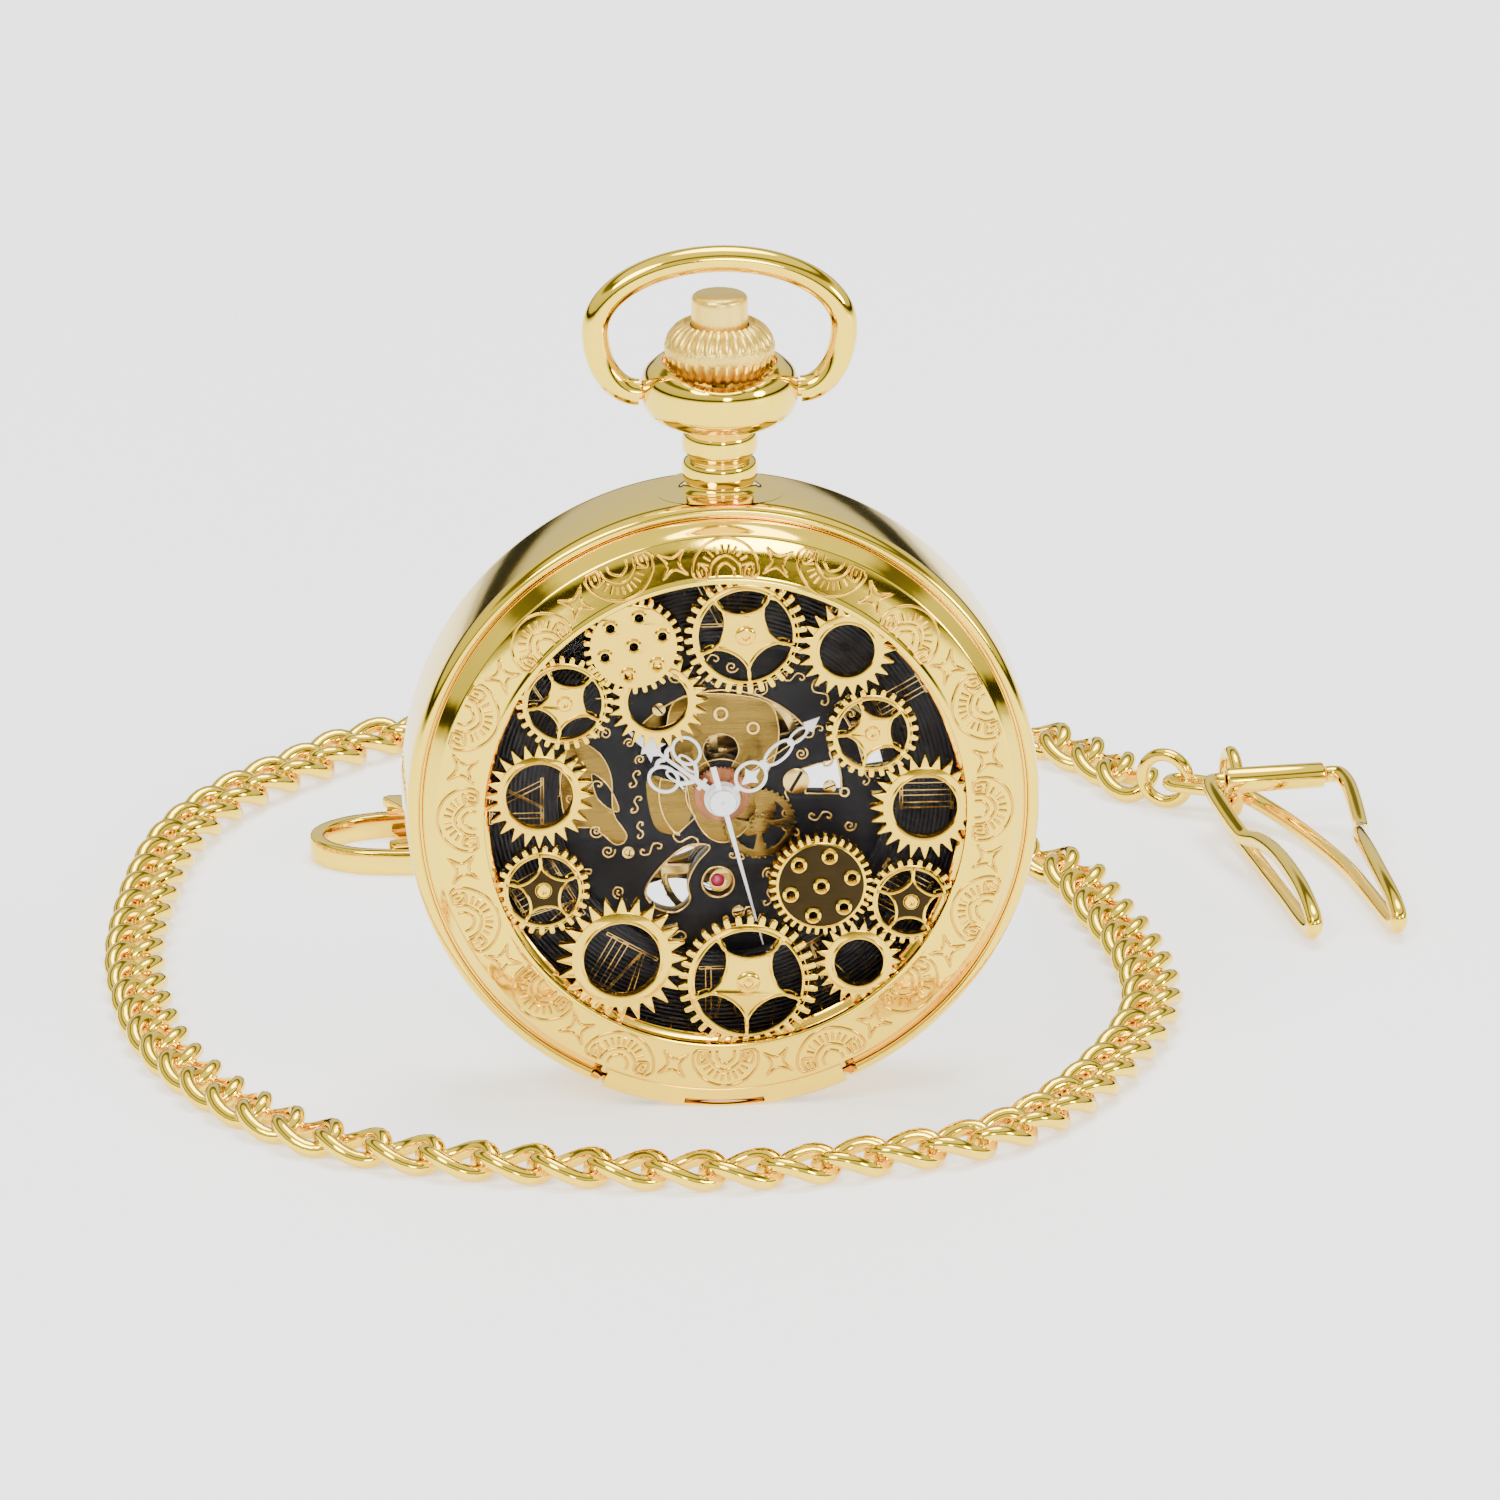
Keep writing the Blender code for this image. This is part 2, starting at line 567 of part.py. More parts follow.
def build_pendant():
    """Pendant with its two neck rings, bow, stem, crown and release button."""
    upright = Matrix.Identity(4)
    above = (0.0, 0.0, TOP_Z)
    recess = 8.5
    pendant = turned("pendant", [
        (CROWN_RECESS_R + 0.1, 9.8), (4.75, 9.75), (5.5, 9.1), (PENDANT_R, 8.3),
        (PENDANT_R, 6.6), (5.5, 5.9), (4.3, 5.2), (2.9, 4.75), (2.45, 4.6), (NECK_R - 0.1, 4.3),
        (NECK_R, 3.5), (NECK_R - 0.1, 2.8), (2.35, 2.3), (NECK_R - 0.1, 1.9), (NECK_R, 1.2),
        (NECK_R - 0.15, 0.5), (2.7, 0.15), (3.3, -0.4), (4.4, -0.9), (STEM_BORE_R, -0.9),
        (STEM_BORE_R, recess), (CROWN_RECESS_R, recess)], True, 32, above, upright)
    combine(pendant, rod("case_round", CASE_R + 0.05, (0, -20, CENTRE_Z), (0, 20, CENTRE_Z),
                         CUTTERS, 96), "DIFFERENCE")
    saddle_r = 9.3
    saddle_z = TOP_Z + 8.85 + saddle_r
    combine(pendant, rod("saddle", saddle_r, (0, -20, saddle_z), (0, 20, saddle_z), CUTTERS, 48),
            "DIFFERENCE")
    for side in (-1, 1):
        hole = rod(f"bow_hole_{side}", BOW_PIVOT_R + 0.1, (side * 4.5, 0, PIVOT_Z),
                   (side * 8.0, 0, PIVOT_Z), CUTTERS)
        combine(pendant, hole, "DIFFERENCE")
    dress(pendant, GOLD, 0.12)

    side_z, top_z = TOP_Z + BOW_SIDE_H, TOP_Z + BOW_TOP_H
    lower = [(BOW_END_X + (BOW_HALF - BOW_END_X) * math.sin(math.radians(t)), 0.0,
              side_z - (side_z - PIVOT_Z) * math.cos(math.radians(t))) for t in range(0, 90, 15)]
    upper = [(BOW_HALF * math.cos(math.radians(t)), 0.0,
              side_z + (top_z - side_z) * math.sin(math.radians(t))) for t in range(0, 181, 10)]
    path = lower + upper + [(-x, y, z) for x, y, z in reversed(lower)]
    bow = wire("bow", path, BOW_WIRE_R, sides=3)
    for side in (-1, 1):
        stub = rod(f"bow_stub_{side}", BOW_PIVOT_R, (side * 4.8, 0, PIVOT_Z),
                   (side * (BOW_END_X + 0.6), 0, PIVOT_Z), CUTTERS, 16)
        combine(bow, stub, "UNION")
    dress(bow, GOLD, 0.12)

    stem_low, stem_top = CENTRE_Z + 12.0, TOP_Z + 9.9
    dress(rod("winding_stem", STEM_R, (0, 0, stem_low), (0, 0, stem_top)), STEEL, 0.3)
    bore = STEM_R + RUN
    crown = turned("crown", [
        (PUSHER_R + 0.1, 12.55), (2.7, 12.5), (3.4, 12.15), (CROWN_R - 0.15, 11.4),
        (CROWN_R, 10.8), (CROWN_R - 0.05, 10.2), (3.75, 9.4), (3.4, 8.85), (bore, 8.85),
        (bore, 10.0), (PUSHER_R + 0.1, 10.0)], True, 32, above, upright)
    dress(crown, PALE_GOLD, 0.35)
    dress(turned("pusher", [(0, 14.9), (1.7, 14.85), (2.0, 14.65), (PUSHER_R, 14.3),
                            (PUSHER_R, 10.15 + PUSHER_TRAVEL), (0, 10.15 + PUSHER_TRAVEL)],
                 False, 32, above, upright), PALE_GOLD, 0.3)
    clutch_low = CENTRE_Z + 13.0
    dress(turned("clutch_wheel", ring_profile(bore, 1.2, 0.0, 1.6), True, 24,
                 (0, 0, clutch_low), upright), STEEL, 0.3)


def build_plates():
    """Dial, movement ring, main plate, bridges, jewels and screws."""
    dress(sheet("dial", [circle(0, 0, DIAL_R, 64), circle(0, 0, DIAL_HOLE_R, 48)], *DIAL_Y,
                at(CENTRE)), BLACK, 0.3, 0.2)
    ring = turned("movement_ring", ring_profile(*RING_R, *RING_Y), True, 48, at(CENTRE))
    combine(ring, rod("ring_stem_bore", STEM_BORE_R, (0, 0, CENTRE_Z + PLATE_R - 2),
                      (0, 0, TOP_Z + 1), CUTTERS), "DIFFERENCE")
    dress(ring, BLACK, 0.4, 0.2)

    notch, notch_low = 1.4, 11.6
    edge = math.degrees(math.asin(notch / PLATE_R))
    outline = arc(0, 0, PLATE_R, 90 + edge, 450 - edge, 60)
    outline += [(notch, notch_low), (-notch, notch_low)]
    balance_window = [(-0.8, -4.2), (-2.4, -4.1), (-4.2, -5.4), (-5.6, -7.4), (-5.0, -8.8),
                      (-3.4, -9.3), (-2.3, -8.4), (-2.45, -7.0), (-1.8, -5.5)]
    holes = [circle(0, 0, 0.5, 12), window(2.6, 8.0, 35, 145, 12), window(2.6, 4.6, 165, 225, 6),
             window(6.3, 9.0, -2, 16, 4), window(10.8, 13.4, 8, 38, 6),
             window(12.0, 14.0, 165, 180, 4), circle(*BALANCE, 1.2, 16),
             spline(balance_window, True, 2)]
    dress(sheet("main_plate", [outline] + holes, *PLATE_Y, at(CENTRE)), BLACK, 0.35, 0.6)

    barrel_outline = arc(0, 0, 18.3, 96, 206, 20) + spline(
        [(-10.5, -3.4), (-5.2, -1.4), (-3.3, 1.9), (-3.8, 5.2), (-2.6, 8.2), (0.2, 10.4)], False, 3)
    train_outline = spline(
        [(-2.1, 7.0), (0.2, 7.6), (3.8, 5.6), (9.6, 5.2), (11.4, 3.2), (10.0, 1.3), (4.6, 0.8),
         (2.2, -0.8), (2.6, -3.4), (1.2, -3.9), (-0.4, -2.2), (-1.6, 0.6), (-2.0, 3.0),
         (-2.6, 5.0)], True, 3)
    cock_outline = spline(
        [(-11.6, -8.4), (-10.0, -10.2), (-7.6, -9.3), (-3.6, -8.0), (-1.0, -8.4), (0.6, -8.1),
         (1.1, -7.0), (0.5, -5.9), (-0.9, -5.6), (-3.6, -6.5), (-7.9, -6.7), (-10.4, -6.4)],
        True, 3)
    holes_in = {"barrel_bridge": (barrel_outline, [circle(*BARREL, 0.9, 16)]),
                "train_bridge": (train_outline,
                                 [circle(*p, JEWEL_R + 0.05, 12)
                                  for p in (CENTRE, THIRD, GREAT, ESCAPE)]),
                "balance_cock": (cock_outline, [circle(*BALANCE, JEWEL_R + 0.05, 12)])}
    for name, (outer, inner) in holes_in.items():
        bridge = sheet(name, [outer] + inner, *BRIDGE_Y, at(CENTRE))
        for number, (x, z) in enumerate(BRIDGE_FEET[name]):
            foot = rod(f"{name}_foot_{number}", 1.2, (x, FOOT_Y, CENTRE_Z + z),
                       (x, BRIDGE_Y[0] + 0.3, CENTRE_Z + z), CUTTERS, 16)
            combine(bridge, foot, "UNION")
        dress(bridge, BRASS, 0.3)

    jewel_places = {"centre": CENTRE, "third": THIRD, "great": GREAT, "escape": ESCAPE,
                    "balance": BALANCE}
    for name, (x, z) in jewel_places.items():
        jewel = rod(f"jewel_{name}", JEWEL_R, (x, JEWEL_Y[0], CENTRE_Z + z),
                    (x, JEWEL_Y[1], CENTRE_Z + z), sides=12)
        dress(jewel, RUBY, 0.1, 0.0)
    screw_places = [foot for feet in BRIDGE_FEET.values() for foot in feet]
    for number, (x, z) in enumerate(screw_places, start=1):
        screw = rod(f"bridge_screw_{number}", SCREW_R, (x, SCREW_Y[0], CENTRE_Z + z),
                    (x, SCREW_Y[1], CENTRE_Z + z), sides=16)
        dress(screw, STEEL, 0.25)


def arbor(name, place, stages, steps=24, colour=BRASS):
    """A wheel, its pinion and its arbor, turned in one."""
    return dress(turned(name, arbor_profile(stages), False, steps, at(place)), colour, 0.25)


def build_train():
    """Barrel, wheels, escapement and balance."""
    drum = turned("mainspring_barrel", ring_profile(0.87, BARREL_R, 0.75, 2.3), True, 40,
                  at(BARREL))
    dress(drum, BRASS, 0.3)
    arbor("great_wheel", GREAT, [(2.65, PIVOT_Y, ARBOR_R), (2.45, 2.65, GREAT_WHEEL_R),
                                 (1.25, 2.45, ARBOR_R + 0.1), (0.8, 1.25, GREAT_PINION_R),
                                 (FOOT_Y, 0.8, ARBOR_R)])
    arbor("third_wheel", THIRD, [(2.8, PIVOT_Y, ARBOR_R), (2.3, 2.8, THIRD_PINION_R),
                                 (1.2, 2.3, ARBOR_R), (1.0, 1.2, THIRD_WHEEL_R),
                                 (FOOT_Y, 1.0, ARBOR_R)])
    arbor("seconds_wheel", CENTRE, [(2.0, PIVOT_Y, ARBOR_R), (1.8, 2.0, SECONDS_WHEEL_R),
                                    (1.35, 1.8, ARBOR_R), (0.85, 1.35, SECONDS_PINION_R),
                                    (SECOND_HAND_Y[1] + 0.05, 0.85, ARBOR_R)])
    arbor("escape_wheel", ESCAPE, [(2.1, PIVOT_Y, 0.15), (1.7, 2.1, ESCAPE_PINION_R),
                                   (1.05, 1.7, 0.2), (0.9, 1.05, ESCAPE_WHEEL_R),
                                   (FOOT_Y, 0.9, 0.15)], 30, STEEL)

    to_balance = math.degrees(math.atan2(BALANCE[1] - FORK[1], BALANCE[0] - FORK[0]))
    tip = away(FORK, to_balance, 1.5)
    arms = [away(FORK, to_balance + turn, 1.7) for turn in (-100, 100)]
    fork_outline = [away(arms[0], to_balance, 0.25), away(tip, to_balance - 90, 0.22),
                    away(tip, to_balance + 90, 0.22), away(arms[1], to_balance, 0.25),
                    away(arms[1], to_balance + 180, 0.25), away(FORK, to_balance + 180, 0.3),
                    away(arms[0], to_balance + 180, 0.25)]
    fork = sheet("pallet_fork", [fork_outline], 0.85, 1.1, at(CENTRE))
    combine(fork, rod("fork_arbor", 0.15, (FORK[0], FOOT_Y, CENTRE_Z + FORK[1]),
                      (FORK[0], 1.6, CENTRE_Z + FORK[1]), CUTTERS, 12), "UNION")
    dress(fork, STEEL, 0.2)

    rim, bar = BALANCE_R - 0.6, 0.4
    lean = math.degrees(math.asin(bar / rim))
    moons = [arc(*BALANCE, rim, lean, 180 - lean, 14), arc(*BALANCE, rim, 180 + lean,
                                                           360 - lean, 14)]
    wheel = sheet("balance_wheel", [circle(*BALANCE, BALANCE_R, 36)] + moons, 2.15, 2.5,
                  at(CENTRE))
    combine(wheel, rod("balance_staff", 0.2, (BALANCE[0], FOOT_Y, CENTRE_Z + BALANCE[1]),
                       (BALANCE[0], PIVOT_Y, CENTRE_Z + BALANCE[1]), CUTTERS, 12), "UNION")
    dress(wheel, PALE_GOLD, 0.2)
    dress(sheet("hairspring", [circle(*BALANCE, 2.2, 32), circle(*BALANCE, 0.6, 16)], 2.65, 2.8,
                at(CENTRE)), STEEL, 0.25)


def build_winding():
    """Ratchet wheel with the barrel arbor, crown wheel and click."""
    low, high = TOP_WHEEL_Y
    arbor("ratchet_wheel", BARREL, [(low, high, RATCHET_R), (FOOT_Y, low, 0.8)], 28, STEEL)
    arbor("crown_wheel", CROWN_WHEEL, [(low, high, CROWN_WHEEL_R)], 28, STEEL)
    pivot = away(BARREL, 205, RATCHET_R + 1.9)
    tip = away(BARREL, 218, RATCHET_R + 0.25)
    outline = arc(*pivot, 0.8, 90, 270, 8) + [away(tip, 250, 0.25), away(tip, 20, 0.1)]
    dress(sheet("click", [outline], low, high, at(CENTRE)), STEEL, 0.25)


def hand_outline(length, tail, hub, width, waist):
    """A hand pointing up: hub disc, swelling blade and point."""
    right = [(waist, hub * 0.95), (waist, length * 0.2), (width, length * 0.4),
             (waist, length * 0.62), (width * 0.7, length * 0.78), (waist, length * 0.86)]
    lean = math.degrees(math.acos(waist / hub))
    round_hub = arc(0, 0, hub, 180 - lean, 360 + lean, 24)
    if tail:
        low = math.degrees(math.acos(waist / hub))
        round_hub = (arc(0, 0, hub, 180 - low, 270 - 90 + low, 8) + [(-waist, -tail), (waist, -tail)]
                     + arc(0, 0, hub, 360 - low, 360 + low, 8))
    return round_hub + right + [(0.0, length)] + [(-x, z) for x, z in reversed(right)]


def build_hands():
    """Cannon pinion, motion wheels and the three hands, set to eight minutes past ten."""
    hour_bore, minute_bore = 0.68, 0.35
    dress(turned("hour_wheel", [(0.95, -1.4), (HOUR_WHEEL_R, -1.4), (HOUR_WHEEL_R, -1.6),
                                (0.95, -1.6), (0.95, HOUR_HAND_Y[1] + 0.05),
                                (hour_bore, HOUR_HAND_Y[1] + 0.05), (hour_bore, -1.4)], True, 28,
                 at(CENTRE)), (0.7, 0.38, 0.2), 0.3)
    dress(turned("cannon_pinion", [(CANNON_R, -1.05), (CANNON_R, -1.35), (0.6, -1.35),
                                   (0.6, MINUTE_HAND_Y[1] + 0.05),
                                   (minute_bore, MINUTE_HAND_Y[1] + 0.05), (minute_bore, -1.05)],
                 True, 24, at(CENTRE)), STEEL, 0.3)
    arbor("minute_wheel", MINUTE, [(-1.28, -1.08, MINUTE_WHEEL_R),
                                   (-1.62, -1.28, MINUTE_PINION_R)], 32)
    hands = [("hour_hand", HOUR_HAND_Y, HOUR_ANGLE,
              [hand_outline(HOUR_HAND_LENGTH, 0, HAND_HUB_R, 1.5, 0.35), circle(0, 0, 0.68, 16)]),
             ("minute_hand", MINUTE_HAND_Y, MINUTE_ANGLE,
              [hand_outline(MINUTE_HAND_LENGTH, 0, HAND_HUB_R, 1.1, 0.3), circle(0, 0, 0.35, 12)]),
             ("second_hand", SECOND_HAND_Y, SECOND_ANGLE,
              [hand_outline(SECOND_HAND_LENGTH, SECOND_HAND_TAIL, 0.7, 0.16, 0.14)])]
    for name, depth, angle, loops in hands:
        turn = Matrix.Rotation(math.radians(angle), 4, "Y")
        middle = (depth[0] + depth[1]) / 2
        hand = sheet(name, loops, *depth, (0.0, -middle, 0.0))
        hand.matrix_world = (Matrix.Translation(Vector((0.0, middle, CENTRE_Z)) * MM)
                             @ turn @ hand.matrix_world)
        dress(hand, WHITE, 0.35, 0.0)


# ---------------------------------------------------------------- chain, clasp and belt clip
CHAIN_ROUTE = [
    (-6.6, 58.1), (4.2, 59.4), (16.9, 56.0), (28.7, 47.4), (31.8, 35.8), (33.6, 23.8),
    (33.4, 12.7), (30.1, 1.5), (24.6, -9.7), (18.4, -16.8), (10.2, -20.3), (2.2, -22.6),
    (-5.9, -22.5), (-14.0, -20.8), (-22.4, -18.2), (-30.6, -13.2), (-36.8, -4.0), (-41.0, 8.2),
    (-42.4, 21.8), (-41.9, 35.4), (-38.6, 55.2), (-33.8, 67.0), (-27.2, 75.5), (-20.0, 82.5),
    (-6.0, 86.6), (6.1, 87.8), (18.0, 85.5), (28.6, 80.0), (34.0, 73.0), (36.4, 67.6)]
RING_ONE = (39.0, 63.9)
RING_TWO = (43.92, 61.39)
RING_TWO_R = 2.3
LINK_Z = 2.2
LINK_SHIFT = 0.5
SLEEVE = (46.9, 57.9, 4.2)
CLIP_ALONG = Vector((0.131, -0.991))
CLIP_ACROSS = Vector((0.991, 0.131))
CLIP_ARM = [(4.05, 0.0, 4.2), (4.7, 0.0, 4.2), (5.2, 0.6, 4.2), (5.3, 3.2, 3.9), (4.8, 8.6, 3.0),
            (4.4, 10.2, 2.9), (3.9, 12.4, 3.3), (3.5, 17.0, 3.6), (3.3, 22.5, 3.3),
            (3.3, 26.4, 2.7), (3.3, 28.2, 1.9), (3.3, 27.6, 1.0), (3.3, 25.4, 0.68)]
CLIP_BACK = [(3.2, 19.0, 0.68), (2.9, 12.0, 0.68), (1.8, 5.0, 0.8), (0.4, 1.0, 1.3),
             (-1.5, -2.3, 2.0), (-2.5, -2.95, 2.2), (-3.4, -2.4, 2.0), (-3.75, -0.8, 1.7),
             (-3.7, 1.8, 1.2), (-3.5, 6.0, 0.75), (-3.4, 12.0, 0.68), (-3.3, 19.0, 0.68)]
CLASP_HOOK = [(-19.6, 61.4), (-22.4, 60.9), (-25.0, 59.8), (-26.8, 57.9), (-27.2, 55.6),
              (-26.2, 53.6), (-24.2, 52.3), (-21.8, 51.8), (-19.6, 51.7)]
CLASP_BODY = (-19.3, 57.0, -12.4, 61.6)
GATE_PIVOT = (-13.8, 54.6)
GATE_TIP = (-21.4, 53.1)
CLASP_RING = (-9.5, 58.6)


def resample(points, step):
    """Evenly spaced points along a smooth curve through the route."""
    fine = [Vector(p) for p in spline(points, False, 24)]
    lengths = [0.0]
    for a, b in zip(fine, fine[1:]):
        lengths.append(lengths[-1] + (b - a).length)
    count = round(lengths[-1] / step)
    out, index = [], 0
    for i in range(count + 1):
        goal = lengths[-1] * i / count
        while index < len(fine) - 2 and lengths[index + 1] < goal:
            index += 1
        share = (goal - lengths[index]) / (lengths[index + 1] - lengths[index])
        out.append(tuple(fine[index].lerp(fine[index + 1], min(share, 1.0))))
    return out


def upright_ring(centre, along, radius, count=16):
    """A ring standing on edge in the vertical plane that holds a direction."""
    return [(centre[0] + along[0] * radius * math.cos(2 * math.pi * i / count),
             centre[1] + along[1] * radius * math.cos(2 * math.pi * i / count),
             radius + LINK_WIRE_R + radius * math.sin(2 * math.pi * i / count))
            for i in range(count)]


def build_chain():
    """The chain as a plain tube, the clasp at one end and the belt clip at the other."""
    route = [(x, y, CHAIN_R) for x, y in resample(CHAIN_ROUTE, CHAIN_STEP)]
    dress(wire("chain", route, CHAIN_R), GOLD, 0.12)

    along = (Vector(RING_TWO) - Vector(RING_ONE)).normalized()
    dress(wire("clip_ring_1", upright_ring(RING_ONE, along, LINK_RING_R), LINK_WIRE_R, True),
          GOLD, 0.12)
    dress(wire("clip_ring_2", upright_ring(RING_TWO, CLIP_ALONG, RING_TWO_R), LINK_WIRE_R, True),
          GOLD, 0.12)
    middle = (Vector(RING_ONE) + Vector(RING_TWO)) / 2 - along * LINK_SHIFT
    side = Vector((-along[1], along[0]))
    oval = []
    for end, start in ((1, -90), (-1, 90)):
        for x, y in arc(0, 0, 1.2, start, start + 180, 8):
            place = middle + along * (end * 1.0 + x) + side * y
            oval.append((place[0], place[1], LINK_Z))
    dress(wire("clip_link", oval, LINK_WIRE_R, True), GOLD, 0.12)

    left_arm = [(-w, u, z) for w, u, z in CLIP_ARM]
    shape = CLIP_ARM + CLIP_BACK + left_arm[::-1]
    origin = Vector(SLEEVE[:2])
    placed = [(*(origin + CLIP_ACROSS * w + CLIP_ALONG * u), z) for w, u, z in shape]
    dress(wire("clip_wire", placed, CLIP_WIRE_R), GOLD, 0.12)
    reach = CLIP_ACROSS * SLEEVE_HALF
    dress(rod("clip_sleeve", SLEEVE_R, (*(origin - reach), SLEEVE[2]),
              (*(origin + reach), SLEEVE[2])), GOLD, 0.12)

    flat = Matrix.Identity(4)
    hook = strap_outline(spline(CLASP_HOOK, False, 2), STRAP_HALF)
    dress(sheet("clasp_hook", [hook], 0.0, STRAP_HEIGHT, frame=flat), GOLD, 0.12)
    x0, y0, x1, y1 = CLASP_BODY
    body = [(x0, y0 + 0.4), (x0 + 0.4, y0), (x1 - 0.4, y0), (x1, y0 + 0.4), (x1, y1 - 0.4),
            (x1 - 0.4, y1), (x0 + 0.4, y1), (x0, y1 - 0.4)]
    holder = sheet("clasp_body", [body], 0.0, 3.2, frame=flat)
    combine(holder, block("clasp_lug", (x1 - 3.2, 53.2, 2.35), (x1 - 0.05, y0 + 0.3, 3.15)), "UNION")
    dress(holder, GOLD, 0.15)
    angle = math.degrees(math.atan2(GATE_TIP[1] - GATE_PIVOT[1], GATE_TIP[0] - GATE_PIVOT[0]))
    gate = (arc(*GATE_PIVOT, 0.9, angle + 90, angle + 270, 12)
            + arc(*GATE_TIP, 0.45, angle - 90, angle + 90, 6))
    gate_piece = sheet("clasp_gate", [gate, circle(*GATE_PIVOT, 0.45, 12)], 0.3, 2.2, frame=flat)
    dress(gate_piece, GOLD, 0.15)
    dress(rod("clasp_pin", 0.38, (*GATE_PIVOT, 0.0), (*GATE_PIVOT, 2.25), sides=12), GOLD, 0.2)
    dress(wire("clasp_ring", upright_ring(CLASP_RING, (1.0, 0.0), LINK_RING_R), LINK_WIRE_R,
               True), GOLD, 0.12)


def build_joint_frames():
    """Empties on the joints' axes, which hold the pieces that move."""
    spots = {
        "lid_axis": ((0, HINGE_Y, HINGE_Z), ["lid_frame", "lid_gearwork"]),
        "bow_axis": ((0, 0, PIVOT_Z), ["bow"]),
        "hands_axis": ((0, 0, CENTRE_Z), ["hour_hand", "minute_hand", "second_hand"]),
        "gate_axis": ((*GATE_PIVOT, 0.0), ["clasp_gate"]),
        "balance_axis": (at(BALANCE), ["balance_wheel", "hairspring"]),
        "fork_axis": (at(FORK), ["pallet_fork"]),
    }
    for name, (place, pieces) in spots.items():
        empty = add(bpy.data.objects.new(name, None))
        empty.location = Vector(place) * MM
        bpy.context.view_layer.update()
        for piece in pieces:
            obj = bpy.data.objects[piece]
            world = obj.matrix_world.copy()
            obj.parent = empty
            obj.matrix_parent_inverse = empty.matrix_world.inverted()
            obj.matrix_world = world


build_case()
build_lid()
build_pendant()
build_plates()
build_train()
build_winding()
build_hands()
build_chain()
bpy.context.view_layer.update()
build_joint_frames()
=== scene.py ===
"""Looks of an open-lid skeleton pocket watch with its curb chain, clasp and belt clip.

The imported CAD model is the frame. Sizes are in millimetres and helpers turn them into metres.
Flat and turned pieces are drawn in the dial's own frame: x to three o'clock, y to twelve, z out
of the dial towards the viewer, with the middle of the case at its origin.
"""

import json
import logging
import math
from dataclasses import dataclass, field
from enum import Enum

import bmesh
import bpy
from mathutils import Matrix, Vector

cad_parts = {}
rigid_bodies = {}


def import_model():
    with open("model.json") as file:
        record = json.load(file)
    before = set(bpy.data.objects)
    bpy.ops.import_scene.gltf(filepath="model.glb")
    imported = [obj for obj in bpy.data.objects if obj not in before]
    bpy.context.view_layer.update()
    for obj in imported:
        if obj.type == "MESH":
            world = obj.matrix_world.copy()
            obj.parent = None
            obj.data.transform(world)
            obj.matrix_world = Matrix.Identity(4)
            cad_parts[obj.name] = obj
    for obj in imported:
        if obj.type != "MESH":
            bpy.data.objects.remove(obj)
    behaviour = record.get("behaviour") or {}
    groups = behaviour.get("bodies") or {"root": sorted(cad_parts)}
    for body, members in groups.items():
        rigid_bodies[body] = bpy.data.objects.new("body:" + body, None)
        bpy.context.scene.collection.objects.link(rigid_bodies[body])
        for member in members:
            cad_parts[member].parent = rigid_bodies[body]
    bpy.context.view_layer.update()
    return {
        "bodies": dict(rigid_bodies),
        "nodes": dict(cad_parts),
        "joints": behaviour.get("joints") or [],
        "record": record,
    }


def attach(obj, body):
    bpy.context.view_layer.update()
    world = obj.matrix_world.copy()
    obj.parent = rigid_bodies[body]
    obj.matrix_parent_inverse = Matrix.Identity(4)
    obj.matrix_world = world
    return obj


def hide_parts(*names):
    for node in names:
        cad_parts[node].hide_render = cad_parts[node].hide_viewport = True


LOG = logging.getLogger("pocket_watch")

Point = tuple[float, float]
Loop = list[Point]
Place = tuple[float, float, float]

MM = 0.001
CASE_R = 23.5
FOOT_WIDTH = 6.0
CENTRE_Z = math.sqrt(CASE_R**2 - (FOOT_WIDTH / 2) ** 2)
TOP_Z = CENTRE_Z + CASE_R
UPRIGHT = Matrix.Identity(4)
DIAL = Matrix.Translation((0.0, 0.0, CENTRE_Z * MM)) @ Matrix.Rotation(math.pi / 2, 4, "X")
FINE_TURN = 224  # spans of the large turned pieces
ROUND_WIRE, FINE_LINE = 60.0, 70.0  # angles in degrees above which an edge stays crisp
HOUR_ANGLE, MINUTE_ANGLE, SECOND_ANGLE = 307.9, 48.4, 165.0


def add_node(tree: bpy.types.NodeTree, kind: str, joins: dict | None = None,
             values: dict | None = None, **settings: str) -> bpy.types.Node:
    """Add a node to a tree.

    Args:
        tree: The tree.
        kind: The node's type.
        joins: Sockets that feed it, by the name or number of its input.
        values: Fixed values of its inputs, by name or number.
        settings: Values of the node's own properties.

    Returns:
        The new node.
    """
    made = tree.nodes.new(kind)
    for key, value in settings.items():
        setattr(made, key, value)
    feed_node(tree, made, joins or {}, values or {})
    return made


def feed_node(tree: bpy.types.NodeTree, node: bpy.types.Node, joins: dict,
              values: dict) -> None:
    """Join sockets to a node's inputs and set its fixed values.

    Args:
        tree: The tree.
        node: The node.
        joins: Sockets that feed it, by the name or number of its input.
        values: Fixed values of its inputs, by name or number.
    """
    for key, value in values.items():
        node.inputs[key].default_value = value
    for key, source in joins.items():
        tree.links.new(source, node.inputs[key])


class Texture(Enum):
    """How a finish varies over its surface."""

    POLISHED = "polished"
    SATIN = "satin"
    GRAINED = "grained"
    BRUSHED = "brushed"
    GROOVED = "grooved"
    SNAILED = "snailed"
    ENAMEL = "enamel"
    CLEAR = "clear"


